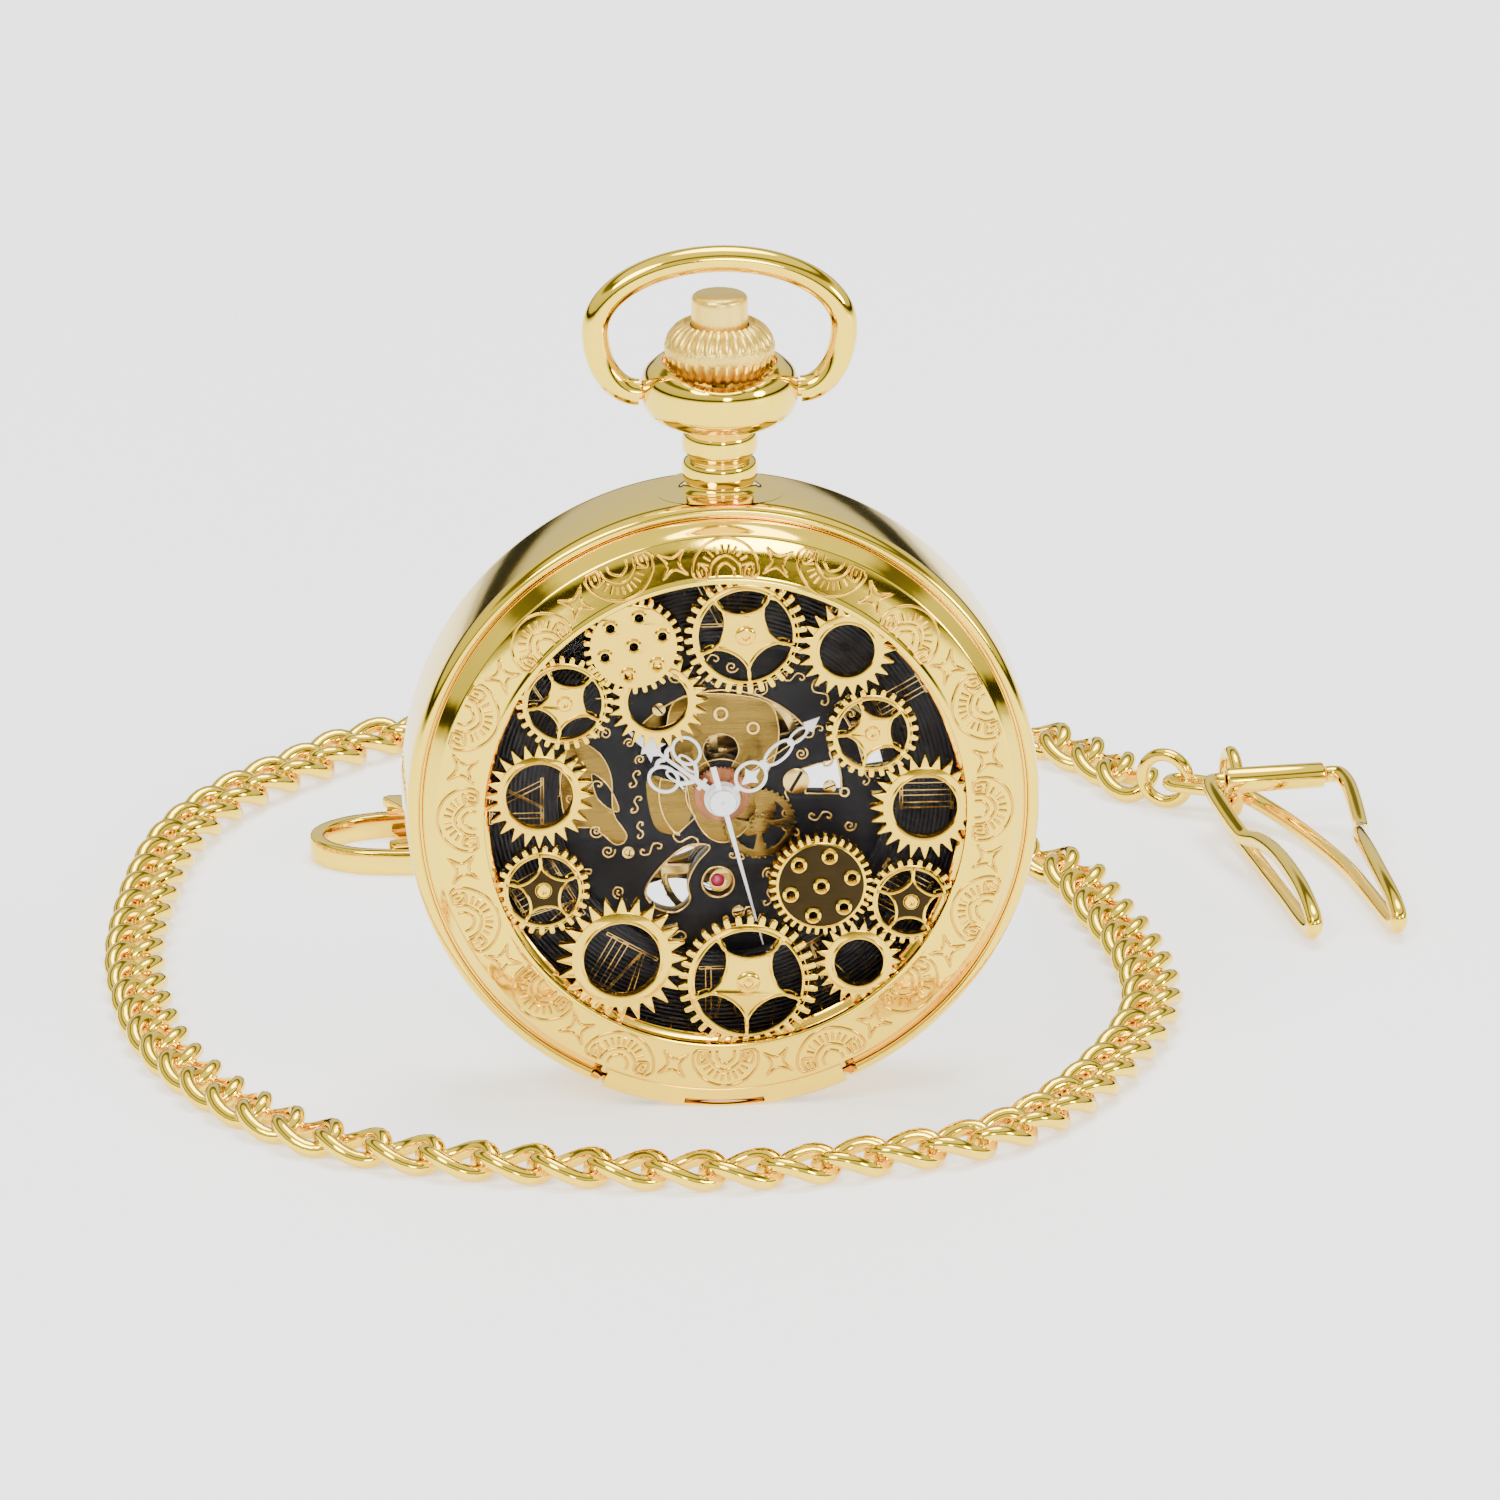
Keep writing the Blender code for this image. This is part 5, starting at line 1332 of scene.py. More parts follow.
@dataclass
class CaseLooks:
    """Case middle, back, glasses, pendant, bow and crown."""

    maker: Maker
    ring: RingOfParts

    def flat_foot(self, obj: bpy.types.Object) -> bpy.types.Object:
        """Flatten what would reach below the surface the case stands on.

        Args:
            obj: The piece.

        Returns:
            The same piece.
        """
        for vert in obj.data.vertices:
            vert.co.z = max(vert.co.z, 0.0)
        return obj

    def build_case(self) -> None:
        """Case middle with its rolled rims, and the back."""
        half = [(22.55, 4.35), (22.6, 4.5), (22.72, 4.58), (22.88, 4.6), (23.05, 4.56),
                (23.22, 4.42), (23.36, 4.2), (23.46, 3.85), (23.5, 3.4)]
        back = [(r, -z) for r, z in reversed(half)]
        inside = [(22.55, -4.05), (20.9, -4.05), (20.9, 1.8), (20.4, 1.8), (20.4, 2.4),
                  (20.9, 2.4), (20.9, 4.05), (22.55, 4.05)]
        body = self.maker.lathe("case_middle", half + back + inside, True, FINE_TURN)
        gap, low, shelf = 9.4 * MM, 3.4 * MM, -2.9 * MM
        for vert in body.data.vertices:
            if abs(vert.co.x) < gap and vert.co.z < low and vert.co.y < shelf:
                vert.co.y = shelf
        self.flat_foot(body)
        web = self.maker.plate("hinge_web", [[(-2.9, 0.35), (2.9, 0.35), (2.9, 1.75),
                                              (-2.9, 1.75)]], 2.7, 3.9, 0.05,
                               Matrix.Rotation(math.pi / 2, 4, "X"))
        place = Matrix.Translation((0, -4.0 * MM, 1.05 * MM)) @ Matrix.Rotation(math.pi / 2, 4,
                                                                                "Y")
        knuckle = self.maker.lathe("case_knuckle", [(0.42, 2.95), (0.78, 2.95), (0.85, 2.88),
                                                    (0.85, -2.88), (0.78, -2.95), (0.42, -2.95)],
                                   True, 28, place)
        Maker.present(Maker.join("case_band", [body, web, knuckle]), GOLD, "case",
                      ("mid_case",))
        bezel = [(18.7, -6.4), (18.76, -6.48), (18.9, -6.5), (20.3, -6.5), (20.7, -6.45),
                 (21.3, -6.15), (21.9, -5.6), (22.25, -5.05), (22.4, -4.6), (22.4, -4.15),
                 (20.8, -4.15), (20.8, -2.7), (20.2, -2.7), (20.2, -4.3), (17.9, -4.3),
                 (17.9, -4.75), (18.7, -4.75)]
        Maker.present(self.flat_foot(self.maker.lathe("back_ring", bezel, True, FINE_TURN)), GOLD,
                      "case", ("rear_bezel",))
        dome = [(18.6 * math.sin(math.radians(a)), -5.35 - 0.85 * math.cos(math.radians(a)))
                for a in range(0, 91, 6)]
        glass = self.maker.lathe("back_glass", dome + [(18.6, -4.85), (0.0, -4.85)], False, 160)
        Maker.present(glass, GLASS, "case", ("rear_crystal",))
        flat = [(0.0, 4.4), (19.15, 4.4), (19.3, 4.25), (19.3, 3.9), (0.0, 3.9)]
        Maker.present(self.maker.lathe("front_glass", flat, False, 160), GLASS, "case",
                      ("front_crystal",))

    def build_pendant(self) -> None:
        """Pendant turned in one piece, its top scooped for the crown."""
        above = Matrix.Translation((0.0, 0.0, TOP_Z * MM))
        outline = smooth([(4.35, 9.8), (4.75, 9.72), (5.45, 9.15), (5.8, 8.4), (5.85, 7.5),
                          (5.72, 6.6), (5.3, 5.85), (4.4, 5.2), (3.2, 4.8), (2.5, 4.62)], per=4)
        outline += smooth([(2.42, 4.55), (2.68, 4.3), (2.8, 3.9), (2.8, 3.2), (2.68, 2.75),
                           (2.32, 2.42)], per=3)
        outline += smooth([(2.3, 2.35), (2.66, 2.1), (2.8, 1.7), (2.8, 1.1), (2.66, 0.6),
                           (2.55, 0.4)], per=3)
        outline += smooth([(2.6, 0.25), (2.85, 0.0), (3.3, -0.32), (4.1, -0.62), (4.7, -0.85)],
                          per=2)
        inside = [(4.7, -1.2), (0.75, -1.2), (0.75, 8.5), (4.15, 8.5), (4.25, 8.6), (4.25, 9.75)]
        pendant = self.maker.lathe("pendant_barrel", outline + inside, True, 128, above)
        scoop, scoop_foot, seat = 9.3, 8.85, CASE_R + 0.02
        for vert in pendant.data.vertices:
            x, z = vert.co.x / MM, vert.co.z / MM
            if z > TOP_Z + scoop_foot - 0.3:
                limit = TOP_Z + scoop_foot + scoop - math.sqrt(max(scoop**2 - x * x, 0.0))
                vert.co.z = min(z, limit) * MM
            elif z < TOP_Z + 0.3:
                vert.co.z = max(z, CENTRE_Z + math.sqrt(seat**2 - x * x)) * MM
        Maker.present(pendant, GOLD, "case", ("pendant",), 50)

        pivot, side, top = 7.4, 12.2, 17.55
        foot, half_width = 6.0, 9.2
        lower = [(foot + (half_width - foot) * math.sin(math.radians(t)), 0.0,
                  TOP_Z + side - (side - pivot) * math.cos(math.radians(t)))
                 for t in range(0, 90, 5)]
        upper = [(half_width * math.cos(math.radians(t)), 0.0,
                  TOP_Z + side + (top - side) * math.sin(math.radians(t)))
                 for t in range(0, 181, 4)]
        path = lower + upper + [(-x, y, z) for x, y, z in reversed(lower)]
        loop = self.maker.wires("bow_wire", [path], 1.0, sides=8)
        pins = [self.maker.wires(f"bow_pin_{i}", [[(s * 4.9, 0, TOP_Z + pivot),
                                                   (s * 6.4, 0, TOP_Z + pivot)]], 0.6, sides=4)
                for i, s in enumerate((-1, 1))]
        Maker.present(Maker.join("bow_loop", [loop] + pins), GOLD, "bow", ("bow",))

    def build_crown(self) -> None:
        """Onion crown of half-round flutes with a rough band, and its push button."""
        above = Matrix.Translation((0.0, 0.0, TOP_Z * MM))
        core = smooth([(2.2, 12.5), (2.7, 12.42), (3.3, 12.05), (3.72, 11.45), (3.82, 10.8),
                       (3.7, 10.1), (3.42, 9.4), (3.1, 8.95), (2.6, 8.86)], per=4)
        core += [(0.68, 8.86), (0.68, 10.0), (2.2, 10.0)]
        body = self.maker.lathe("crown_core", core, True, 96, UPRIGHT)
        rib = smooth([(2.62, 12.42), (3.2, 12.1), (3.68, 11.5), (3.84, 10.8), (3.74, 10.1),
                      (3.45, 9.4), (3.1, 9.0)], per=4)
        part = self.maker.wires("flute", [[(r - 0.1, 0.0, z) for r, z in rib]], 0.36, sides=3)
        crown = self.ring.make("crown_flutes", part, 30, 0.0, GOLD_SATIN, 0.0, body, above)
        Maker.present(crown, GOLD_SATIN, "crown", ("crown",), ROUND_WIRE)
        band = smooth([(3.9, 11.35), (4.08, 11.1), (4.12, 10.8), (4.06, 10.45), (3.9, 10.2)])
        band += [(3.7, 10.2), (3.7, 11.35)]
        Maker.present(self.maker.lathe("crown_grain", band, True, 120, above), GOLD_ROUGH,
                      "crown")
        button = [(0.0, 14.9), (1.5, 14.89), (1.8, 14.84), (2.0, 14.7), (2.08, 14.5),
                  (2.1, 14.2), (2.1, 11.15), (0.0, 11.15)]
        Maker.present(self.maker.lathe("push_button", button, False, 72, above), GOLD_SATIN,
                      "pusher", ("pusher",))


# ---------------------------------------------------------------- dial and hands
@dataclass
class DialLooks:
    """Grooved dial, its numerals and the three hands."""

    maker: Maker
    ring: RingOfParts
    inner: float = 13.35
    outer: float = 17.15
    face: float = 2.0

    def glyph(self, text: str) -> list[Loop]:
        """The strokes of a numeral, centred on v, its foot at u = 0.

        Args:
            text: The numeral's letters.

        Returns:
            One closed outline for each stroke.
        """
        widths = {"I": 0.95, "V": 2.0, "X": 2.3}
        loops, cursor = [], -sum(widths[c] for c in text) / 2
        high = self.outer - self.inner
        for letter in text:
            wide = widths[letter]
            left, right, mid = cursor + 0.12, cursor + wide - 0.12, cursor + wide / 2
            if letter == "I":
                loops.append([(0, mid - 0.2), (high, mid - 0.2), (high, mid + 0.2),
                              (0, mid + 0.2)])
            elif letter == "V":
                loops.append([(high, left - 0.18), (high, left + 0.25), (0, mid + 0.12),
                              (0, mid - 0.15)])
                loops.append([(high, right - 0.06), (high, right + 0.1), (0, mid + 0.1),
                              (0, mid)])
            else:
                loops.append([(high, left - 0.18), (high, left + 0.25), (0, right + 0.1),
                              (0, right - 0.3)])
                loops.append([(high, right - 0.06), (high, right + 0.1), (0, left + 0.1),
                              (0, left - 0.06)])
            cursor += wide
        return loops

    def build_dial(self) -> None:
        """The dial ring with outlined numerals set round it, heads outwards."""
        dial = self.maker.plate("dial_ring", [circle(0, 0, 20.0, 160), circle(0, 0, 12.2, 120)],
                                1.7, self.face, 0.05)
        Maker.present(dial, BLACK_DIAL, "case", ("dial",))
        lines = []
        hours = ["XII", "I", "II", "III", "IIII", "V", "VI", "VII", "VIII", "IX", "X", "XI"]
        for hour, text in enumerate(hours):
            turn = math.radians(90 - 360 / len(hours) * hour)
            loops = self.glyph(text)
            width = max(abs(v) for loop in loops for _, v in loop)
            for u in (0.0, self.outer - self.inner):
                loops.append([(u - 0.1, -width - 0.15), (u + 0.1, -width - 0.15),
                              (u + 0.1, width + 0.15), (u - 0.1, width + 0.15)])
            for loop in loops:
                lines.append([((self.inner + u) * math.cos(turn) + v * math.sin(turn),
                               (self.inner + u) * math.sin(turn) - v * math.cos(turn),
                               self.face + 0.01) for u, v in loop])
        numerals = self.maker.wires("numerals", lines, 0.055, True, DIAL, 1)
        Maker.present(numerals, GILT_BRIGHT, "case")
        tick = self.maker.wires("tick", [[(18.0, 0.0, self.face + 0.01),
                                          (18.6, 0.0, self.face + 0.01)]], 0.05, sides=1)
        Maker.present(self.ring.make("minute_ticks", tick, 60, 0.0, GILT_BRIGHT), GILT_BRIGHT,
                      "case")

    def hand(self, name: str, loops: list[list[Loop]], low: float, angle: float,
             finish: Finish, body: str, nodes: tuple[str, ...]) -> None:
        """Cut a hand out of thin sheet and turn it to its hour.

        Args:
            name: The hand's name.
            loops: Groups of outlines, drawn pointing along x; each group is one sheet.
            low: Its lower face above the case's middle.
            angle: Clockwise angle from twelve, in degrees.
            finish: Its finish.
            body: The body it rides on.
            nodes: The CAD nodes it is shown for.
        """
        parts = [self.maker.plate(f"{name}_{i}", group, low, low + 0.12 + 0.006 * i, 0.02,
                                  UPRIGHT) for i, group in enumerate(loops)]
        made = Maker.join(name, parts)
        made.data.transform(DIAL @ Matrix.Rotation(math.radians(90 - angle), 4, "Z"))
        Maker.present(made, finish, body, nodes)

    @staticmethod
    def hoop(x: float, y: float, long: float, wide: float, angle: float, wall: float) -> list:
        """An elliptical hoop.

        Args:
            x: Its middle along the hand.
            y: Its middle across the hand.
            long: Half its length.
            wide: Half its width.
            angle: Its lie in degrees.
            wall: Width of the metal.

        Returns:
            Its outline and its hole.
        """
        return [ellipse(x, y, long, wide, angle), ellipse(x, y, long - wall, wide - wall, angle)]

    def build_hands(self) -> None:
        """Pierced hour and minute hands and a plain seconds hand."""
        hub = [[circle(0, 0, 1.35, 48), circle(0, 0, 0.36, 20)]]
        hour = hub + [[strap([(1.1, 0), (3.0, 0)], 0.26, 0.7)],
                      [[(1.75, 0.5), (2.05, 0.5), (2.05, -0.5), (1.75, -0.5)]],
                      [strap([(2.6, 0), (8.2, 0)], 0.13)]]
        for side in (-1, 1):
            hour.append(self.hoop(4.45, 1.38 * side, 1.25, 1.05, 10 * side, 0.24))
            hour.append(self.hoop(3.75, 0.66 * side, 0.95, 0.42, 8 * side, 0.18))
            hour.append([strap(smooth([(2.5, 0.1 * side), (2.9, 0.6 * side), (3.4, 1.0 * side)]),
                               0.15)])
            hour.append([strap(smooth([(5.3, 0.1 * side), (5.6, 0.5 * side),
                                       (5.45, 1.0 * side)]), 0.16)])
        hour.append([[(5.7, 0.0), (6.2, 0.42), (6.0, 0.9), (6.75, 0.55), (7.0, 0.85),
                      (7.25, 0.35), (7.9, 0.3), (9.0, 0.0), (7.9, -0.3), (7.25, -0.35),
                      (7.0, -0.85), (6.75, -0.55), (6.0, -0.9), (6.2, -0.42)]])
        self.hand("hour_hand_sheet", hour, 2.52, HOUR_ANGLE, WHITE, "hour_hand", ("hour_hand",))
        minute = [[circle(0, 0, 1.2, 48), circle(0, 0, 0.36, 20)],
                  [strap([(1.0, 0), (1.7, 0)], 0.24)],
                  self.hoop(2.8, 0, 1.3, 1.2, 0, 0.25), self.hoop(5.55, 0, 1.4, 0.7, 0, 0.22),
                  self.hoop(7.5, 0, 0.9, 0.45, 0, 0.18),
                  [smooth([(1.9, 0.0), (2.5, 0.32), (2.9, 0.7), (3.1, 0.25), (3.7, 0.0),
                           (3.1, -0.25), (2.9, -0.7), (2.5, -0.32)], True, 3)],
                  [[(8.3, 0.12), (8.45, 0.5), (9.63, 0.0), (8.45, -0.5), (8.3, -0.12)]],
                  [ellipse(4.12, 0, 0.3, 0.45, 0)], [ellipse(6.75, 0, 0.25, 0.36, 0)]]
        self.hand("minute_hand_sheet", minute, 3.01, MINUTE_ANGLE, WHITE, "minute_hand",
                  ("minute_hand",))
        second = [[circle(0, 0, 0.7, 36)],
                  [[(-2.9, 0.22), (-2.9, -0.22), (0.0, -0.2), (11.5, -0.05), (11.5, 0.05),
                    (0.0, 0.2)]]]
        self.hand("second_hand_sheet", second, 3.5, SECOND_ANGLE, WHITE, "second_hand",
                  ("second_hand",))
        cap = [(0.0, 3.66), (0.5, 3.66), (0.62, 3.74), (0.95, 3.74), (1.0, 3.68), (1.0, 3.62),
               (0.0, 3.62)]
        Maker.present(self.maker.lathe("seconds_cap", cap, False, 48), WHITE, "second_hand")
        dot = [(0.0, 3.7), (0.13, 3.7), (0.15, 3.67), (0.15, 3.62), (0.0, 3.62)]
        line = [(x, y, 3.7) for x, y in circle(0, 0, 0.98, 48)]
        shades = [self.maker.lathe("pivot_dot", dot, False, 24),
                  self.maker.wires("cap_line", [line], 0.035, True, DIAL, 1)]
        Maker.present(Maker.join("cap_shading", shades), STEEL, "second_hand")


# ---------------------------------------------------------------- movement
@dataclass
class MovementLooks:
    """Main plate with its engraving, bridges, wheels, balance and winding work."""

    maker: Maker
    ring: RingOfParts
    run: float = 0.07
    places: dict[str, Point] = field(default_factory=dict)

    def __post_init__(self) -> None:
        """Work out where the wheels stand from their radii."""
        centre = (0.0, 0.0)
        third = away(centre, 52.6, 3.6 + 0.48 + self.run + 0.1)
        great = away(third, 146.6, 3.9 + 0.49 + self.run + 0.1)
        barrel = away(great, 199.9, 5.0 + 0.8 + self.run)
        self.places = {
            "centre": centre, "third": third, "great": great, "barrel": barrel,
            "escape": away(centre, 300.0, 2.7 + 0.3 + self.run),
            "balance": (-0.2, -7.0), "fork": (0.63, -4.93),
            "minute": away(centre, 320.0, 0.92 + 2.76 + self.run),
            "crown": away(barrel, 52.0, 4.4 + 3.5 + self.run)}

    def bright_lines(self, name: str, lines: list, wire: float, closed: bool = True) -> None:
        """Fine bright lines on a plate or a bridge.

        Args:
            name: The piece's name.
            lines: Their centre lines.
            wire: Their radius.
            closed: Whether each line joins its start.
        """
        Maker.present(self.maker.wires(name, lines, wire, closed, DIAL, 1), GILT_BRIGHT, "case",
                      (), FINE_LINE)

    def windows(self) -> list[Loop]:
        """The openings of the main plate.

        Returns:
            The closed outlines.
        """
        def sector(inner: float, outer: float, start: float, end: float) -> Loop:
            """A ring sector about the middle.

            Args:
                inner: Its inner radius.
                outer: Its outer radius.
                start: First angle in degrees.
                end: Last angle in degrees.

            Returns:
                The closed outline.
            """
            return arc(0, 0, outer, start, end, 20) + arc(0, 0, inner, end, start, 20)

        slot = [(-0.8, -4.2), (-2.4, -4.1), (-4.2, -5.4), (-5.6, -7.4), (-5.0, -8.8),
                (-3.4, -9.3), (-2.3, -8.4), (-2.45, -7.0), (-1.8, -5.5)]
        return [sector(2.6, 8.0, 35, 145), sector(2.6, 4.6, 165, 225),
                sector(6.3, 9.0, -2, 16), sector(10.8, 13.4, 8, 38), sector(12.0, 14.0, 165, 180),
                circle(*self.places["balance"], 1.2, 36), smooth(slot, True, 5)]

    def build_plate(self) -> None:
        """Black main plate, gold edges, engraved scrolls, screws and the front bridges."""
        notch = 1.4
        edge = math.degrees(math.asin(notch / 18.6))
        outline = arc(0, 0, 18.6, 90 + edge, 450 - edge, 160) + [(notch, 11.6), (-notch, 11.6)]
        windows = self.windows()
        plate = self.maker.plate("front_plate", [outline, circle(0, 0, 0.5, 16)] + windows,
                                 -0.5, 1.0, 0.05)
        Maker.present(plate, BLACK_PLATE, "case", ("main_plate",))
        rims = [[(x, y, 1.0) for x, y in loop] for loop in windows]
        self.bright_lines("plate_edges", rims, 0.1)
        curls = [(-8.6, 4.8, 0.55, 1.6), (-6.8, 4.0, 0.42, 1.4), (-6.0, 2.7, 0.4, 1.4),
                 (-9.3, -2.8, 0.55, 1.6), (-8.4, -4.4, 0.55, 1.6), (6.0, 2.9, 0.5, 1.6),
                 (9.6, -2.8, 0.5, 1.4), (-10.6, 2.2, 0.5, 1.4), (9.8, 4.8, 0.45, 1.4),
                 (3.6, -6.4, 0.5, 1.6), (2.2, -9.4, 0.5, 1.4), (-7.6, -7.6, 0.55, 1.6),
                 (-3.4, 9.2, 0.6, 1.6), (4.6, 9.6, 0.6, 1.6), (0.8, 9.8, 0.5, 1.4),
                 (-11.2, -0.2, 0.45, 1.4)]
        scrolls = [(-6.4, 1.2, 0.75, 80), (-6.3, -0.8, 0.75, 80), (-6.0, -2.8, 0.7, 100),
                   (-2.6, -3.6, 1.1, -10), (-5.2, -4.3, 0.9, 35), (3.4, 8.4, 1.2, 60),
                   (-1.3, 8.8, 1.1, 10), (8.2, 2.6, 0.9, 70), (4.9, -0.4, 0.8, 75),
                   (5.2, -3.0, 0.8, -20), (8.6, -4.6, 0.9, 30), (-8.8, 7.6, 1.0, -30),
                   (-10.3, -6.4, 0.9, 60), (1.2, -5.0, 0.6, 0), (3.6, -8.2, 0.8, 80),
                   (7.4, 7.6, 1.1, -50), (10.9, 1.0, 0.7, 90), (-9.6, 0.8, 0.8, 20),
                   (7.4, -2.0, 0.9, 15), (6.9, 4.6, 0.8, 40), (5.4, 8.9, 0.9, 10),
                   (-1.0, 10.4, 0.9, 20), (2.8, -4.6, 0.7, 60), (-3.4, -11.0, 0.9, 0),
                   (-10.8, 6.4, 0.7, 70), (9.4, 6.2, 0.7, -30), (-5.6, 9.6, 0.8, -10)]
        lines = [spiral(x, y, size, turns, 40 * i) for i, (x, y, size, turns) in enumerate(curls)]
        lines += [scroll(x, y, size, angle) for x, y, size, angle in scrolls]
        lines = [[(x, y, 1.02) for x, y in line] for line in lines]
        self.bright_lines("plate_scrolls", lines, 0.095, False)
        self.build_front_bridges()

    def build_front_bridges(self) -> None:
        """Gilt pieces, jewel settings and screws that show in the dial's opening."""
        crescent = smooth([(-3.2, 7.4), (0.0, 7.7), (3.4, 7.0), (4.3, 5.0), (4.0, 2.6),
                           (3.1, 0.8), (2.6, -1.6), (1.6, -3.2), (0.2, -3.9), (-1.2, -3.2),
                           (-2.2, -1.2), (-2.6, 0.9), (-3.6, 2.8), (-4.0, 5.2)], True, 5)
        keyhole = smooth([(0.0, 4.6), (1.0, 4.2), (1.35, 3.2), (0.9, 2.2), (0.5, 1.6),
                          (-0.5, 1.6), (-0.9, 2.2), (-1.35, 3.2), (-1.0, 4.2)], True, 4)
        left = smooth([(-5.5, 1.2), (-3.6, 0.9), (-2.4, -0.6), (-2.4, -2.4), (-3.6, -3.2),
                       (-5.0, -2.4)], True, 5)
        right = smooth([(1.9, -0.6), (3.7, -0.4), (4.1, -1.6), (3.4, -3.0), (1.9, -3.4),
                        (1.2, -2.2)], True, 5)
        side = smooth([(-11.8, 4.2), (-9.4, 3.6), (-8.2, 1.6), (-8.0, -1.4), (-7.0, -3.2),
                       (-7.8, -3.9), (-9.4, -2.6), (-11.6, -1.8)], True, 5)
        lens = smooth([(-9.6, 1.7), (-8.3, 0.6), (-7.6, -1.3), (-9.1, -0.4)], True, 5)
        gilt = self.maker.plate("gilt_bridges", [crescent, keyhole, side, lens], 0.6, 1.04, 0.05)
        Maker.present(gilt, GILT, "case")
        edges = [[(x, y, 1.03) for x, y in loop] for loop in (crescent, keyhole, side, lens)]
        self.bright_lines("bridge_edges", edges, 0.07)
        cut = self.maker.plate("gilt_plates", [left, right], 0.55, 1.02, 0.05)
        Maker.present(cut, GILT, "case")
        settings = [(-2.3, 6.1, 0.55), (0.0, 6.15, 0.62), (2.4, 5.0, 0.55), (9.2, -0.15, 0.42),
                    (4.85, -1.7, 0.36), (-9.6, 4.9, 0.45), (-6.9, -4.5, 0.5)]
        rings = []
        for i, (x, y, size) in enumerate(settings):
            seat = Matrix.Translation((x * MM, y * MM, 0.0))
            profile = [(size * 0.45, 1.05), (size * 0.6, 1.14), (size * 0.9, 1.14),
                       (size, 1.05), (size, 0.95), (size * 0.45, 0.95)]
            rings.append(self.maker.lathe(f"setting_{i}", profile, True, 28, DIAL @ seat))
        Maker.present(Maker.join("jewel_settings", rings), GILT_BRIGHT, "case")
        screws, slot_shades = [], []
        for x, y, size, turn in [(5.6, 0.8, 1.0, 60), (8.1, 0.3, 0.5, 20), (-6.8, -4.5, 0.36, 80),
                                 (1.3, -9.3, 0.5, 10), (-4.6, 6.6, 0.5, 130)]:
            slot = strap([away((x, y), turn, size * 0.86), away((x, y), turn + 180, size * 0.86)],
                         size * 0.13)
            screws.append(self.maker.plate("screw", [circle(x, y, size, 36)], 0.98, 1.2, 0.06))
            # Black strips on the screw heads: painted shade standing in for the cut slots.
            slot_shades.append(self.maker.plate("slot", [slot], 1.15, 1.21, 0.01))
        Maker.present(Maker.join("plate_screws", screws), GILT_BRIGHT, "case")
        Maker.present(Maker.join("screw_slots", slot_shades), BLACK_PLATE, "case")
        oval = ellipse(0.1, -7.0, 1.05, 0.9, 60)
        stone = self.maker.lathe("end_stone", [(0.0, 0.35), (0.25, 0.32), (0.45, 0.15),
                                               (0.5, 0.0), (0.0, 0.0)], False, 32,
                                 DIAL @ Matrix.Translation((-0.2 * MM, -7.0 * MM, 0.35 * MM)))
        Maker.present(stone, RUBY, "case")
        setting = self.maker.plate("end_stone_setting", [oval, circle(-0.2, -7.0, 0.5, 24)],
                                   0.25, 0.6, 0.04)
        Maker.present(setting, GILT_BRIGHT, "case")

    def wheel(self, name: str, at: str, radius: float, teeth: int, span: tuple[float, float],
              finish: Finish, body: str, nodes: tuple[str, ...], spokes: int = 0,
              pinion: tuple[float, float, float] | None = None,
              arbor: tuple[float, float, float] | None = None) -> None:
        """A toothed wheel with its pinion and arbor.

        Args:
            name: The piece's name.
            at: Where it stands, by name.
            radius: Its pitch radius.
            teeth: Number of teeth.
            span: Its lower and upper face.
            finish: Its finish.
            body: The body it rides on.
            nodes: CAD nodes it is shown for.
            spokes: Number of arms, or none for a plain disc.
            pinion: Radius, lower and upper face of the pinion.
            arbor: Radius, lower and upper end of the arbor.
        """
        low, high = span
        root = radius * 0.94
        pitch = 2 * math.pi * root / teeth
        loops = [circle(0, 0, root, 72)]
        for i in range(spokes):
            start = 360 / spokes * i + 12
            end = 360 / spokes * (i + 1) - 12
            loops.append(arc(0, 0, root * 0.8, start, end, 10)
                         + arc(0, 0, root * 0.32, end, start, 6))
        solids = [self.maker.plate(name + "_disc", loops, low, high, 0.015, UPRIGHT)]
        if pinion:
            size, foot, head = pinion
            star = []
            for i in range(12):
                star += [away((0, 0), 30 * i - 6, size), away((0, 0), 30 * i + 6, size),
                         away((0, 0), 30 * i + 15, size * 0.72)]
            solids.append(self.maker.plate(name + "_pinion", [star], foot, head, 0.02, UPRIGHT))
        if arbor:
            size, foot, head = arbor
            profile = [(0.0, head), (size * 0.8, head), (size, head - 0.05), (size, foot + 0.05),
                       (size * 0.8, foot), (0.0, foot)]
            solids.append(self.maker.lathe(name + "_arbor", profile, False, 20, UPRIGHT))
        high_tooth = radius - root
        tooth = self.maker.plate("tooth", [[(-0.1, pitch * 0.28), (high_tooth * 0.6, pitch * 0.25),
                                            (high_tooth, pitch * 0.1),
                                            (high_tooth, -pitch * 0.1),
                                            (high_tooth * 0.6, -pitch * 0.25),
                                            (-0.1, -pitch * 0.28)]], low, high, 0.01, UPRIGHT)
        base = Maker.join(name + "_base", solids)
        x, y = self.places[at]
        place = DIAL @ Matrix.Translation((x * MM, y * MM, 0.0))
        made = self.ring.make(name, tooth, teeth, root, finish, 0.0, base, place)
        Maker.present(made, finish, body, nodes)

